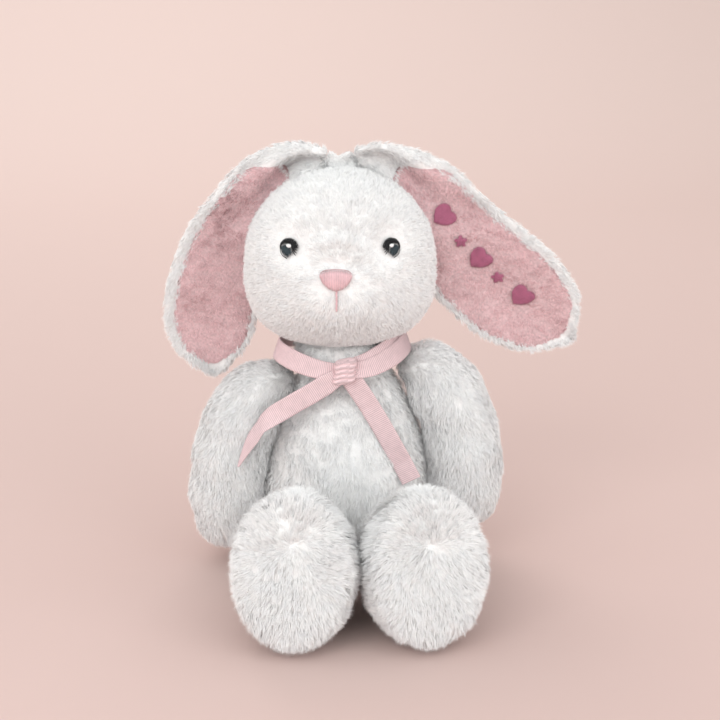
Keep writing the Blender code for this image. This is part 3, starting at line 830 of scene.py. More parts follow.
def face_trim(points):
    """Pile length round the eyes, nose and mouth."""
    across, back, up = (points - HEAD_CENTRE).T
    beside = np.abs(across - EYE_TURN) - EYE_OUT
    inner = np.where(beside < 0, 1.35, 1.0)
    eye = np.hypot(beside / (0.0062 * inner), (up - EYE_UP) / 0.0068)
    nose = np.hypot((across - FACE_TURN) / 0.0092, (up - NOSE_UP + 0.0002) / 0.0062)
    mouth = np.hypot((across - FACE_TURN) / 0.0013, np.maximum(np.abs(up - NOSE_UP + 0.0115) - 0.0055, 0) / 0.0013)
    near = np.minimum(np.minimum(eye, nose), mouth)
    cover = np.where(near < 0.9, 0.0, np.clip(0.42 + 0.55 * (near - 0.9), 0, 1))
    return np.where(back < 0, cover, 1.0)


class BUNNY_OT_head(Operator):
    """Sewn head with its filling and plush"""

    bl_idname = "bunny.head"
    bl_label = "Head"

    def execute(self, context):
        polar = np.linspace(0.16, math.pi - 0.05, 60)[:, None]
        round_ = np.linspace(0, TURN, 96, endpoint=False)
        directions = np.stack([np.sin(polar) * np.cos(round_), np.sin(polar) * np.sin(round_),
                               -np.cos(polar) * np.ones_like(round_)], -1)
        backing = loft("head_cloth", head_points(directions, BACKING_DEPTH))
        seam_valley(backing, lambda p: np.where(p[:, 2] > 0.17, p[:, 1] - HEAD_CENTRE[1], 1.0), 0.0006, 0.0020)
        inner = loft("head_batting", head_points(directions, 0.0085))
        placed(dressed(inner, "loose fibre"), "head", "fibre_fill", "head_stuffing")
        placed(dressed(backing, "plush backing"), "head", "white_plush", "face_panel", "head_back_panel")
        tip = HEAD_CENTRE + [0, -0.050, NOSE_UP]
        comb = away_from(tip, (0, 0, -0.12))

        def back_comb(points, normals):
            """Backwards beside the seam, turning to straight down behind."""
            turned = np.clip((points[:, 1] - HEAD_CENTRE[1]) / 0.022, 0, 1)[:, None]
            return (1 - turned) * unit(comb(points, normals)) + turned * unit(downwards(points, normals))

        length = settings("pile").face
        pieces = (
            ("face_plush", length, 1.08, comb, lambda p: face_trim(p) * (p[:, 1] <= HEAD_CENTRE[1])),
            ("head_back_plush", length * 1.1, 1.08, back_comb, lambda p: 1.0 * (p[:, 1] > HEAD_CENTRE[1])),
        )
        for name, size, lean, lie, trim in pieces:
            placed(grow_pile(name, backing, 124000, size, lean, lie, WHITE_PILE, trim, tuft=0.0014, swirl=0.2),
                   "head", "white_plush")
        return {"FINISHED"}


class BUNNY_OT_face(Operator):
    """Satin-stitched eyes, nose and mouth"""

    bl_idname = "bunny.face"
    bl_label = "Face stitching"

    def execute(self, context):
        self.tree = surface_of(bpy.data.objects["head_cloth"])
        for side, sign in SIDES.items():
            self.make_eye(side, sign)
        self.make_nose()
        self.make_mouth()
        return {"FINISHED"}

    def centre(self, across, up):
        return HEAD_CENTRE[0] + across, HEAD_CENTRE[2] + up

    def make_eye(self, side, sign):
        """A slanting oval: heavy dark edge above, slate iris and light fleck, with short lashes on the inner side."""
        length = settings("face").eye / 2
        slant = math.radians(20)

        def label(x, z):
            inward = -sign * x
            long = z * math.cos(slant) + inward * math.sin(slant)
            short = inward * math.cos(slant) - z * math.sin(slant)
            edge = np.hypot(long / length, short / (0.86 * length))
            iris = np.hypot((inward + 0.28 * length) / (0.52 * length), (z + 0.34 * length) / (0.62 * length))
            lashes = 0.08 * np.abs(np.sin(2600 * (inward + z)))
            cut = 0.677 * inward - 0.736 * z > (0.50 + lashes) * length
            return np.where((edge < 1) & ~cut, np.where((iris < 1) & (edge < 0.88), 1, 0), -1)

        place = self.centre(EYE_TURN + sign * EYE_OUT, EYE_UP)
        runs = laid(self.tree, satin(label, 1.1 * length, 0.00034, sign * 0.35), place, 0.0014, 0.0006)
        shine = (-sign * 0.0001, 0.0010)
        fleck = satin(lambda x, z: np.where(np.hypot(x - shine[0], z - shine[1]) < 0.0014, 2, -1), length, 0.00030, 0)
        runs += laid(self.tree, fleck, place, 0.0023, 0.0002)
        for k in range(6):
            slope = math.radians(28 - 14 * k)
            x = -sign * np.linspace(0.45, 0.93, 5) * length * math.cos(slope) * 0.9
            z = np.linspace(0.45, 0.98, 5) * length * math.sin(slope) + 0.0003
            runs += laid(self.tree, [(x, z, 0)], place, 0.0018)
        eye = dressed(threads(f"eye_{side}_stitching", runs, 0.00026), "eye thread", "iris thread", "light thread")
        placed(eye, "head", "dark_thread", f"eye_{side}")

    def make_nose(self):
        """A shield of upright stitches inside a darker outline."""
        half = settings("face").nose / 2

        def top(x):
            return 0.0046 - 0.0008 * (x / half) ** 2 - 0.0010 * (x / half) ** 8

        def bottom(x):
            return 0.0026 - 0.0080 * np.clip(1 - (x / half) ** 2, 0, 1) ** 0.65

        def label(x, z):
            tone = np.where(np.round(x / 0.00040).astype(int) % 3 == 0, 2, 0)
            return np.where((np.abs(x) < half) & (z < top(x)) & (z > bottom(x)), tone, -1)

        place = self.centre(FACE_TURN, NOSE_UP)
        runs = laid(self.tree, satin(label, 1.05 * half, 0.00040, 0.0), place, 0.0016, 0.0008)
        x = np.linspace(-0.97 * half, 0.97 * half, 22)
        rim = [(x, top(x), 1)]
        runs += laid(self.tree, rim, place, 0.0018)
        nose = dressed(threads("nose_stitching", runs, 0.00025), "rose thread", "deep rose thread", "pale rose thread")
        placed(nose, "head", "rose_thread", "nose")

    def make_mouth(self):
        """Two strands side by side from the nose down the middle of the muzzle."""
        z = np.linspace(-0.0050, -0.0050 - settings("face").mouth, 14)
        place = self.centre(FACE_TURN, NOSE_UP)
        runs = []
        for shift in (-0.00020, 0.00020):
            x = shift + 0.00012 * np.sin(z * 4200)
            runs += laid(self.tree, [(x, z, 0)], place, 0.0010)
        mouth = dressed(threads("mouth_stitching", runs, 0.00034), "rose thread")
        placed(mouth, "head", "rose_thread", "mouth_stitch")


# ---------------------------------------------------------------- ears


def ear_places(side, out, height, depth):
    """Points of the ear's leaning plane, depth metres in front of it."""
    x = HEAD_CENTRE[0] + SIDES[side] * out
    drop = height - EAR_ROOT_HEIGHT
    y = EAR_ROOT_Y - depth * math.cos(EAR_LEAN) - drop * math.sin(EAR_LEAN)
    z = EAR_ROOT_HEIGHT - depth * math.sin(EAR_LEAN) + drop * math.cos(EAR_LEAN)
    return np.stack(np.broadcast_arrays(x, y, z), -1)


def ear_stations(side, count):
    """Middle line, the way across it, and the half width, at even steps from the root to the tip."""
    table = smooth_line(EAR_PATH[side], 8)
    table = evenly(table[:, :2], count, table[:, 2:])
    middle, half = table[:, :2], table[:, -1]
    run = unit(np.gradient(middle, axis=0))
    across = np.stack([-run[:, 1], run[:, 0]], -1)
    across = across * np.where(across @ [1, 0.3] < 0, -1, 1)[:, None]
    share = np.linspace(0, 1, count)
    round_tip = np.sqrt(np.clip((1 - share) / 0.10, 0, 1))
    return middle, across, np.maximum(half, 0.0012) * np.where(share > 0.9, 0.35 + 0.65 * round_tip, 1), share


def ear_cup(side, share, v):
    """How far forward the ear's middle layer lies: edges that curl forward, folds at the root, and slow waves."""
    phase = 0.4 if side == "left" else 1.7
    root = np.exp(-((share - 0.20) / 0.13) ** 2)
    curl = 0.0050 * np.abs(v + 0.1) ** 1.5 * np.clip(share / 0.22, 0, 1)
    fold = curl - 0.0064 * np.exp(-((v + 0.15) / 0.38) ** 2) * root
    crease = 0.0032 * root * np.sin(6.0 * v + 16.0 * share + phase)
    second = 0.0026 * np.exp(-((share - 0.42) / 0.10) ** 2) * np.sin(4.2 * v - 9.0 * share + phase)
    wave = 0.0012 * np.sin(8.0 * share + 2.1 * v + phase)
    return fold + crease + second + wave


class BUNNY_OT_ears(Operator):
    """Lop ears: white back and border, pink velour lining, and the stitched motif on the left one"""

    bl_idname = "bunny.ears"
    bl_label = "Ears"

    def execute(self, context):
        for side in SIDES:
            self.make_ear(side)
        return {"FINISHED"}

    def make_ear(self, side):
        ears = settings("ears")
        middle, across, half, share = ear_stations(side, 72)
        columns = 22
        angle = np.linspace(0, TURN, 2 * columns, endpoint=False)
        v = np.cos(angle) * 0.985
        rise = np.sign(np.sin(angle)) * np.abs(np.sin(angle)) ** 0.6
        grow = np.minimum(1, share / 0.06 + 0.35)[:, None]
        thick = ears.layer / 2 * grow * np.minimum(1, half / 0.006)[:, None]
        place = middle[:, None] + across[:, None] * (half[:, None] * v)[..., None]
        depth = ear_cup(side, share[:, None], v[None]) + thick * rise
        rings = ear_places(side, place[..., 0], place[..., 1], depth)
        backing = loft(f"ear_{side}_cloth", rings)
        lining = self.make_lining(side, middle, across, half, share)

        def outer_trim(points):
            """Full pile on the back and the border, none under the lining."""
            front, above, below, reach = self.beside_lining(side, points, middle, across, half)
            bare = (front > 0) & (above < -0.0012) & (below < -0.0008) & (reach > 0.22)
            return np.where(bare, 0.0, 1.0)

        line = ear_places(side, middle[:, 0], middle[:, 1], 0.0)
        along = unit(np.gradient(line, axis=0))

        def comb(points, _):
            nearest = np.argmin(((points[:, None, ::2] - line[None, :, ::2]) ** 2).sum(-1), 1)
            return along[nearest] + 0.35 * unit(points - line[nearest])

        white = grow_pile(f"ear_{side}_plush", backing, 62000, 0.0040, 1.02, comb, WHITE_PILE, outer_trim)
        pink = grow_pile(f"ear_{side}_velour", lining, 62000, settings("pile").lining, 0.95, comb, PINK_PILE,
                         self.motif_trim(side), tuft=0.0009, swirl=0.5, streaks=0.35)
        root, bend = (ear_places(side, *knot[:2], 0.0) for knot in EAR_PATH[side][1:3])
        for obj, slot, nodes in (
            (dressed(backing, "plush backing"), "white_plush", [f"ear_{side}_back"]),
            (dressed(lining, "velour backing"), "pink_velour", [f"ear_{side}_lining"]),
            (white, "white_plush", []), (pink, "pink_velour", []),
        ):
            joined(obj, "head", f"ear_{side}", (root, bend), slot, *nodes)
        if side == "left":
            self.make_motif(lining)

    def flat(self, side, points):
        """Points of an ear laid flat: how far out each is, and how high."""
        height = EAR_ROOT_HEIGHT + (points[:, 2] - EAR_ROOT_HEIGHT) / math.cos(EAR_LEAN)
        return np.stack([(points[:, 0] - HEAD_CENTRE[0]) * SIDES[side], height], -1)

    def beside_lining(self, side, points, middle, across, half):
        """For points on an ear: distances in front of it, past the lining's two edges, and the share of its length."""
        flat = self.flat(side, points)
        nearest = np.argmin(((flat[:, None] - middle[None]) ** 2).sum(-1), 1)
        v = ((flat - middle[nearest]) * across[nearest]).sum(1)
        plane = EAR_ROOT_Y - (flat[:, 1] - EAR_ROOT_HEIGHT) * math.sin(EAR_LEAN)
        share = nearest / (len(middle) - 1)
        cup = ear_cup(side, share, v / np.maximum(half[nearest], 1e-4))
        front = plane - cup - points[:, 1]
        border = settings("ears").border
        return front, v - (half[nearest] - border), -v - (half[nearest] - 0.6 * border), share

    def make_lining(self, side, middle, across, half, share):
        """A thin panel sewn to the front of the ear, narrower towards the root."""
        border = settings("ears").border
        first, last = 0.20, 0.965
        rows = np.flatnonzero((share > first) & (share < last))
        part = share[rows]
        open_ = np.clip((part - first) / 0.10, 0.02, 1) ** 0.5
        close = np.clip((last - part) / 0.05, 0.02, 1) ** 0.5
        upper = (half[rows] - border * (0.95 - 0.35 * np.exp(-((part - 0.3) / 0.15) ** 2))) * close
        lower = -(half[rows] - 0.55 * border) * close
        centre = 0.15 * lower
        upper, lower = centre + (upper - centre) * open_, centre + (lower - centre) * open_
        columns = 26
        step = np.linspace(0, 1, columns)
        v = (lower[:, None] + (upper - lower)[:, None] * step) / half[rows][:, None]
        place = middle[rows][:, None] + across[rows][:, None] * (half[rows][:, None] * v)[..., None]
        thick = settings("ears").layer / 2 * np.abs(1 - np.clip(np.abs(v), 0, 0.99) ** 2) ** 0.3
        depth = ear_cup(side, part[:, None], v) + thick + 0.0002
        edge = np.minimum(1, 6 * np.minimum(step, 1 - step) + 0.15)
        front = ear_places(side, place[..., 0], place[..., 1], depth + 0.0007 * edge)
        back = ear_places(side, place[..., 0], place[..., 1], depth - 0.0004)
        return loft(f"ear_{side}_lining_cloth", np.concatenate([front, back[:, ::-1]], axis=1))

    def motif_spots(self):
        """Middle and size of each motif, from the root end: hearts with small flowers between."""
        count = 72
        middle, across, half, _ = ear_stations("left", count)
        spots = []
        for k, at in enumerate((0.42, 0.51, 0.60, 0.69, 0.78)):
            i = int(at * (count - 1))
            run = unit(middle[i + 1] - middle[i - 1])
            place = middle[i] + across[i] * half[i] * 0.02
            spots.append((place, math.atan2(run[1], run[0]), 0.0068 if k % 2 == 0 else 0.0042, k % 2))
        return spots

    def motif_trim(self, side):
        """Short pile under the motif. The right ear has none."""
        if side == "right":
            return None
        spots = self.motif_spots()

        def trim(points):
            flat = self.flat(side, points)
            near = np.min([np.linalg.norm(flat - place, axis=1) / size for place, _, size, _ in spots], axis=0)
            return np.where(near < 0.85, 0.30, 1.0)

        return trim

    def make_motif(self, lining):
        """Satin hearts and small flowers in a row along the lining."""
        tree = surface_of(lining)
        runs = []
        for place, slant, size, flower in self.motif_spots():
            def label(x, z, slant=slant, size=size, flower=flower):
                u = (x * math.cos(slant) + z * math.sin(slant)) / size
                w = (z * math.cos(slant) - x * math.sin(slant)) / size
                if flower:
                    inside = np.hypot(u, w) < 0.58 + 0.36 * np.abs(np.cos(2.5 * np.arctan2(w, u)))
                else:
                    u, w = 1.12 * u, 1.12 * w + 0.05
                    inside = (u * u + w * w - 1) ** 3 - u * u * w**3 < 0
                return np.where(inside, 0, -1)

            x = HEAD_CENTRE[0] + place[0]
            z = EAR_ROOT_HEIGHT + (place[1] - EAR_ROOT_HEIGHT) * math.cos(EAR_LEAN)
            runs += laid(tree, satin(label, 1.3 * size, 0.00044, slant + 0.5), (x, z), 0.0011, 0.0006)
        motif = dressed(threads("ear_left_motif_stitching", runs, 0.00026), "motif thread")
        placed(motif, "ear_left", "rose_thread", "ear_left_motif")


# ---------------------------------------------------------------- limbs


def limb_radii(profile, shares, inset):
    """A limb's radius at each share of its length, inset metres inside the CAD's skin."""
    outline = smooth_line(profile, 8)
    return np.maximum(np.interp(shares, outline[:, 1], outline[:, 0]) - inset, 0.0008)


class BUNNY_OT_arms(Operator):
    """Stuffed arms with their plush"""

    bl_idname = "bunny.arms"
    bl_label = "Arms"

    def execute(self, context):
        rows, columns = 40, 30
        for side, sign in SIDES.items():
            out, up = np.array(ARM_PATH[side]).T
            step = np.arange(len(out))
            out = out - 0.0006 * step - np.where(step > 0, ARM_TUCK[side], 0)
            knots = np.column_stack([sign * out, ARM_REACH * step / step[-1], up])
            line = evenly(smooth_line(knots, 8), rows)
            radii = limb_radii(ARM_PROFILE, np.linspace(0, 1, rows), -0.0018)
            line = line[0] + (line - line[0]) * (1 - BACKING_DEPTH / 0.115)
            rings = tube_rings(line, radii, TOWARDS_BACK, columns)
            lumps = ripple(rings.reshape(-1, 3), 0.03, 4).reshape(rows, columns, 1)
            rings = rings + 0.0008 * unit(rings - line[:, None]) * lumps
            backing = stuffed(loft(f"arm_{side}_cloth", rings), 0.004, 0.0012)

            def comb(points, _, line=line):
                nearest = np.argmin(((points[:, None] - line[None]) ** 2).sum(-1), 1)
                return unit(np.gradient(line, axis=0))[nearest] + [0, 0, -0.2]

            plush = grow_pile(f"arm_{side}_plush", backing, 52000, settings("pile").body, 1.0, comb, WHITE_PILE)
            thin = np.maximum(radii * 0.68 - 0.0005, 0.0006)
            inner = loft(f"arm_{side}_batting", tube_rings(line, thin, TOWARDS_BACK, 20))
            for obj, slot, nodes in (
                (dressed(backing, "plush backing"), "white_plush", [f"arm_{side}_shell"]), (plush, "white_plush", []),
                (dressed(inner, "loose fibre"), "fibre_fill", [f"arm_{side}_stuffing"]),
            ):
                joined(obj, "torso", f"arm_{side}", (line[0], line[12]), slot, *nodes)
        return {"FINISHED"}


class BUNNY_OT_legs(Operator):
    """Stuffed legs with sewn-in soles and long plush"""

    bl_idname = "bunny.legs"
    bl_label = "Legs"

    def execute(self, context):
        for side, sign in SIDES.items():
            body = f"leg_{side}"
            hip = np.array(HIP) * [sign, 1, 1]
            sole = np.array(SOLE[side]) * [sign, 1, 1]
            along = unit(sole - hip)
            length = np.linalg.norm(sole - hip)
            shares = np.concatenate([np.linspace(0, 0.985, 30), [1.0, 1.004]])
            radii = limb_radii(LEG_PROFILE, np.minimum(shares, 1), BACKING_DEPTH)
            radii[-2:] *= [0.90, 0.55]
            line = hip + np.outer(shares * length, along)
            level = np.array([1.0, 0.0, 0.0])
            tall = 1 + FOOT_STRETCH * np.minimum(shares, 1)
            backing = loft(f"{body}_cloth", tube_rings(line, radii, level, 34, tall))
            stuffed(backing, 0.0045, 0.0015)
            radius, height = np.array(SOLE_DOME).T
            pad_line = sole + np.outer(height, along)
            pad = loft(f"sole_{side}_cloth", tube_rings(pad_line, radius, level, 40, 1 + FOOT_STRETCH))
            pad.modifiers.new("round", "SUBSURF").levels = 1
            finished(pad)
            thin = np.maximum(radii[:-2] * 0.72, 0.0006)
            inner = loft(f"{body}_batting", tube_rings(line[:-2], thin, level, 20, tall[:-2]))
            foot = settings("pile").foot
            whorl = away_from(sole - along * 0.006 + [0, 0, 0.012], (0, 0, -0.1))

            def down_leg(points, along=along, hip=hip, length=length):
                return np.clip(((points - hip) @ along) / length, 0, 1)

            def comb(points, normals, along=along, down_leg=down_leg):
                share = down_leg(points)[:, None]
                return along * (1 - 1.3 * share) + normals * [1.0, 0, 0.2] + [0, 0, -0.35]

            def grade(points, down_leg=down_leg):
                share = down_leg(points)
                return np.clip(0.62 + 0.5 * share, 0, 1) * np.clip((0.998 - share) / 0.02, 0.75, 1)

            plush = grow_pile(f"{body}_plush", backing, 66000, foot, 0.62, comb, WHITE_PILE, grade, tuft=0.0019)
            tread = grow_pile(f"sole_{side}_plush", pad, 26000, foot * 0.92, 0.85, whorl, WHITE_PILE, tuft=0.0015,
                              swirl=0.25)
            placed(dressed(inner, "loose fibre"), body, "fibre_fill", f"{body}_stuffing")
            placed(dressed(backing, "plush backing"), body, "white_plush", f"{body}_shell")
            placed(dressed(pad, "plush backing"), body, "white_plush", f"sole_{side}")
            placed(plush, body, "white_plush")
            placed(tread, body, "white_plush")
        return {"FINISHED"}


# ---------------------------------------------------------------- ribbon


def strip(name, line, across, width, thickness, rib, ridge, gather=None, columns=10):
    """A closed length of ribbon along a line, with raised cross ribs. across points to one edge; gather pleats it."""
    reach = run_length(line)[-1]
    count = 2 * max(4, int(reach / rib)) + 1
    table = evenly(line, count, across)
    line, across = table[:, :3], unit(table[:, 3:6])
    along = unit(np.gradient(line, axis=0))
    across = unit(across - along * (across * along).sum(1, keepdims=True))
    facing = np.cross(along, across)
    share = np.linspace(-1, 1, columns)
    edge = np.where(np.abs(share) > 0.93, 0.4, 1.0)
    ribs = np.where(np.arange(count) % 2 == 0, ridge, -ridge)[:, None] * edge
    reached = np.linspace(0, reach, count)[:, None]
    pleats = np.zeros((count, columns)) if gather is None else gather(reached, share[None])
    widths = np.broadcast_to(width, count) if np.ndim(width) == 0 else np.interp(np.linspace(0, 1, count), *width)
    base = line[:, None] + across[:, None] * (share[None] * widths[:, None] / 2)[..., None]
    front = base + facing[:, None] * (pleats + thickness / 2 + ribs)[..., None]
    back = base + facing[:, None] * (pleats - thickness / 2 + ribs)[..., None]
    obj = loft(name, np.concatenate([front, back[:, ::-1]], axis=1))
    # Every other row of faces takes the second finish, a darker painted shade across the ribs.
    rows = np.repeat(np.arange(count - 1) % 2, 2 * columns)
    slots = np.zeros(len(obj.data.polygons), np.int32)
    slots[: len(rows)] = rows
    obj.data.polygons.foreach_set("material_index", slots)
    return obj


class BUNNY_OT_ribbon(Operator):
    """Grosgrain ribbon: neck band, pinched knot and two tails"""

    bl_idname = "bunny.ribbon"
    bl_label = "Ribbon"

    def execute(self, context):
        self.make_band()
        self.make_knot()
        self.make_left_tail()
        self.make_right_tail()
        return {"FINISHED"}

    def make_band(self):
        """Once round the neck, dipping to the knot, with a second layer that comes out of the knot on the left."""
        loop = [(-0.0045, -0.0282, 0.1195), (-0.0160, -0.0275, 0.1207), (-0.0290, -0.0215, 0.1240),
                (-0.0388, -0.0060, 0.1266), (-0.0360, 0.0130, 0.1265), (-0.0200, 0.0290, 0.1250),
                (0.0, 0.0320, 0.1245), (0.0200, 0.0290, 0.1255), (0.0335, 0.0130, 0.1290), (0.0345, -0.0060, 0.1305),
                (0.0258, -0.0205, 0.1265), (0.0125, -0.0275, 0.1216), (0.0010, -0.0282, 0.1200)]
        line = smooth_line(loop, 10)

        def flared(line):
            """The way to the band's upper edge, which leans in towards the neck."""
            outward = unit(line * [1, 1, 0] - [0, TORSO_MIDDLE_Y, 0])
            return np.array([0, 0, 1.0]) - 0.35 * outward

        def gather(reach, share, total=run_length(line)[-1]):
            near = np.exp(-np.minimum(reach, total - reach) / 0.006)
            return 0.0006 * near * np.sin(8.5 * share + 0.6)

        squeeze = ([0, 0.06, 0.14, 0.86, 0.94, 1], [0.0088, 0.0105, 0.0115, 0.0115, 0.0105, 0.0088])
        band = self.grosgrain("neck_ribbon", line, flared(line), squeeze, gather)
        placed(band, "torso", "grosgrain_ribbon", "neck_ribbon_band")
        flat = (settings("ribbon").width, float(run_length(line)[-1]))
        inner = smooth_line([(0.0020, -0.0262, 0.1222), (0.0120, -0.0256, 0.1256), (0.0235, -0.0196, 0.1308),
                             (0.0318, -0.0080, 0.1345)], 10)
        layer = self.grosgrain("neck_ribbon_turn", inner, flared(inner), ([0, 1], [0.0085, 0.0110]))
        placed(layer, "torso", "grosgrain_ribbon")
        float(run_length(inner)[-1])

    def make_knot(self):
        """A short wrap round the tie, pinched at its waist, with sharp folds across it."""
        rows, columns = 44, 40
        height = np.linspace(-1, 1, rows)[:, None]
        angle = np.linspace(0, TURN, columns, endpoint=False)[None]
        waist = 1 - 0.16 * np.exp(-((height / 0.45) ** 2))
        cap = np.clip(1 - np.abs(height) ** 7, 0.05, 1) ** 0.5
        x = np.sign(np.cos(angle)) * np.abs(np.cos(angle)) ** 0.55
        y = np.sign(np.sin(angle)) * np.abs(np.sin(angle)) ** 0.75
        folds = np.sin(height * 17 + 2.2 * np.abs(x) + 0.6 * np.sin(5 * x)) * 0.00042 * (np.sin(angle) < 0)
        points = np.stack([
            0.0066 * x * waist * cap + 0.0009 * height,
            (0.0042 * y * cap) + folds * np.sign(y),
            np.broadcast_to(0.0074 * height, (rows, columns)) + 0.0006 * x,
        ], -1)
        knot = loft("ribbon_knot_cloth", KNOT_CENTRE + [0.0, -0.0066, 0.0] + points)
        # Faces on the folds take the second finish, a darker painted shade in the folds.
        slots = np.zeros(len(knot.data.polygons), np.int32)
        slots[: (rows - 1) * columns] = (folds[:-1] > 0.0001).ravel()
        knot.data.polygons.foreach_set("material_index", slots)
        knot.modifiers.new("round", "SUBSURF").levels = 1
        finished(knot)
        placed(dressed(knot, "grosgrain", "grosgrain painted shade"), "torso", "grosgrain_ribbon", "ribbon_knot")

    def grosgrain(self, name, line, across, width, gather=None):
        """A ribbed strip of the ribbon in its finish."""
        ribbon = settings("ribbon")
        obj = strip(name, line, across, width, ribbon.thickness, ribbon.rib, 0.00016, gather)
        return dressed(obj, "grosgrain", "grosgrain painted shade")

    def tail(self, side, line, across, width):
        """A free end that hangs from the knot."""
        obj = self.grosgrain(f"ribbon_tail_{side}_cloth", line, across, width)
        joined(obj, "torso", f"ribbon_tail_{side}", (KNOT_CENTRE, line[len(line) // 6]), "grosgrain_ribbon",
               f"ribbon_tail_{side}")
        flat = (settings("ribbon").width, float(run_length(line)[-1]))

    def make_left_tail(self):
        """Hangs flat down the belly to a slanting cut end."""
        spots = smooth_line([(-0.0005, 0.1185), (0.0095, 0.1030), (0.0190, 0.0870), (0.0275, 0.0710),
                             (0.0355, 0.0555)], 10)
        depth = belly_depth(np.clip(spots[:, 0], -0.03, 0.03), spots[:, 1] - 0.004)
        line = np.column_stack([spots[:, 0], np.minimum(depth - 0.0052, -0.0285), spots[:, 1]])
        run = unit(line[-1] - line[0])
        across = np.broadcast_to(np.cross(run, [0, -1, 0]), line.shape) + [[0, 0.12, 0]]
        self.tail("left", line, across, settings("ribbon").width)

    def make_right_tail(self):
        """Sweeps out over the arm, turns edge-on half way and ends in a point."""
        spots = smooth_line([(-0.0065, 0.1165), (-0.0180, 0.1095), (-0.0320, 0.1010), (-0.0460, 0.0915),
                             (-0.0545, 0.0800), (-0.0620, 0.0650)], 10)
        share = np.linspace(0, 1, len(spots))
        depth = np.interp(share, [0, 0.25, 0.6, 1], [-0.0300, -0.0310, -0.0285, -0.0285])
        line = np.column_stack([spots[:, 0], depth, spots[:, 1]])
        run = unit(np.gradient(line, axis=0))
        level = unit(np.cross(run, [0, -1, 0]))
        out = np.cross(run, level)
        turn = np.interp(share, [0, 0.45, 0.66, 0.85, 1], [0.0, 0.15, 1.15, 1.0, 0.85])[:, None]
        across = level * np.cos(turn) + out * np.sin(turn)
        self.tail("right", line, across, ([0, 0.08, 0.75, 1], [0.0095, 0.0115, 0.0112, 0.0010]))


# ---------------------------------------------------------------- stage


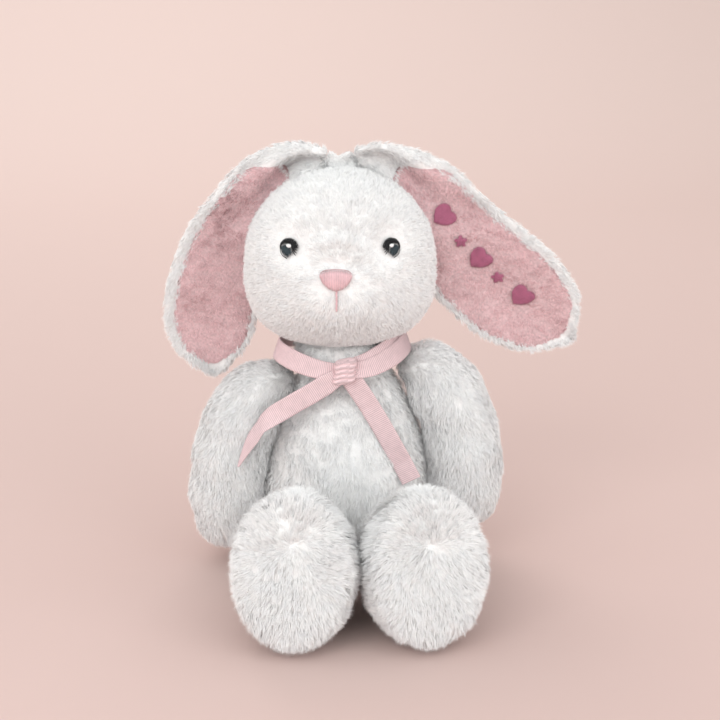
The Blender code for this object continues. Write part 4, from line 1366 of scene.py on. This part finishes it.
class BUNNY_OT_stage(Operator):
    """Pale backdrop, soft studio light and the camera"""

    bl_idname = "bunny.stage"
    bl_label = "Stage"

    def execute(self, context):
        self.make_camera(context)
        self.make_backdrop()
        self.make_light(context)
        return {"FINISHED"}

    def make_camera(self, context):
        data = bpy.data.cameras.new("camera")
        camera = bpy.data.objects.new("camera", data)
        context.scene.collection.objects.link(camera)
        turn = math.radians(-3.25)
        raised = math.radians(16.0)
        back = Vector((math.sin(turn) * math.cos(raised), -math.cos(turn) * math.cos(raised), math.sin(raised)))
        camera.location = Vector((0.0081, 0, 0.1180)) + 0.92 * back
        camera.rotation_euler = (-back).to_track_quat("-Z", "Y").to_euler()
        data.lens = 80.5
        data.sensor_width = 36
        data.clip_start = 0.05
        context.scene.camera = camera
        context.scene.view_settings.view_transform = "Standard"

    def make_backdrop(self):
        """Floor that curves up into a wall."""
        angle = np.linspace(0, math.pi / 2, 14)
        profile = np.vstack([
            [(-7.0, 0.0)],
            np.column_stack([1.1 + 0.8 * np.sin(angle), 0.8 - 0.8 * np.cos(angle)]),
            [(1.9, 4.0)],
        ])
        points = np.array([(x, y, z) for y, z in profile for x in (-7.0, 7.0)])
        rows = np.arange(len(profile) - 1)[:, None] * 2
        floor = make_mesh("backdrop", points, rows + [0, 1, 3, 2])
        far = tuple(settings("stage").floor)
        material = plain_material("backdrop paper", far, 0.9)
        tree = material.node_tree
        shader = tree.nodes["Principled BSDF"]
        place = wire(tree, "ShaderNodeTexCoord").outputs["Object"]
        grain = wire(tree, "ShaderNodeTexNoise", {"Scale": 900.0}, {"Vector": place})
        parts = wire(tree, "ShaderNodeSeparateXYZ", {}, {"Vector": place})
        rise = wire(tree, "ShaderNodeMapRange", {"From Min": -0.2, "From Max": 1.5}, {"Value": parts.outputs["Y"]})
        # The paper turns darker and pinker towards the front of the floor: painted shade.
        near = (far[0], far[1] * 0.945, far[2] * 0.95)
        mix = wire(tree, "ShaderNodeMix", {MIX_FIRST: (*near, 1), MIX_SECOND: (*far, 1)},
                   {MIX_FACTOR: rise.outputs["Result"]}, data_type="RGBA")
        tree.links.new(mix.outputs[MIX_RESULT], shader.inputs["Base Color"])
        bump = wire(tree, "ShaderNodeBump", {"Strength": 0.05, "Distance": 0.0005}, {"Height": grain.outputs["Fac"]})
        tree.links.new(bump.outputs["Normal"], shader.inputs["Normal"])
        floor.data.materials.append(material)

    def make_light(self, context):
        stage = settings("stage")
        for name, place, size, power, colour in (
            ("key", (-0.8, -1.4, 1.0), 1.2, stage.key, (1.0, 1.0, 0.99)),
            ("fill", (1.2, -1.4, 0.7), 1.4, stage.fill, (0.99, 1.0, 1.0)),
            ("back", (-0.3, 1.5, 1.3), 1.4, stage.fill * 1.5, (1.0, 1.0, 1.0)),
        ):
            data = bpy.data.lights.new(name, "AREA")
            data.size = size
            data.energy = power
            data.color = colour
            light = bpy.data.objects.new(name, data)
            light.location = place
            light.rotation_euler = (Vector((0, 0, 0.12)) - light.location).to_track_quat("-Z", "Y").to_euler()
            context.scene.collection.objects.link(light)
        world = bpy.data.worlds.new("studio")
        world.use_nodes = True
        background = world.node_tree.nodes["Background"]
        background.inputs["Color"].default_value = (0.97, 0.985, 0.98, 1)
        background.inputs["Strength"].default_value = stage.ambient
        context.scene.world = world


class BUNNY_PT_panel(Panel):
    """Lists the pieces of the bunny in the 3D view's sidebar"""

    bl_idname = "BUNNY_PT_panel"
    bl_label = "Plush bunny"
    bl_space_type = "VIEW_3D"
    bl_region_type = "UI"
    bl_category = "Bunny"

    def draw(self, context):
        for group in GROUPS:
            box = self.layout.box()
            box.label(text=group.capitalize())
            values = settings(group)
            for name in values.__annotations__:
                box.prop(values, name)
        for operator in OPERATORS:
            self.layout.operator(operator.bl_idname)


GROUPS = {"pile": BunnyPile, "face": BunnyFace, "ears": BunnyEars, "ribbon": BunnyRibbon, "stage": BunnyStage}
OPERATORS = (BUNNY_OT_stage, BUNNY_OT_torso, BUNNY_OT_neck, BUNNY_OT_tail, BUNNY_OT_head, BUNNY_OT_face,
             BUNNY_OT_ears, BUNNY_OT_arms, BUNNY_OT_legs, BUNNY_OT_ribbon)


def register():
    for cls in (*GROUPS.values(), *OPERATORS, BUNNY_PT_panel):
        bpy.utils.register_class(cls)
    for name, cls in GROUPS.items():
        setattr(bpy.types.Scene, "bunny_" + name, PointerProperty(type=cls))


def unregister():
    for name in GROUPS:
        delattr(bpy.types.Scene, "bunny_" + name)
    for cls in reversed((*GROUPS.values(), *OPERATORS, BUNNY_PT_panel)):
        bpy.utils.unregister_class(cls)


def main():
    register()
    make_materials()
    for operator in OPERATORS:
        getattr(bpy.ops.bunny, operator.bl_idname.split(".")[1])()
    bpy.context.view_layer.update()


if __name__ == "__main__":
    main()
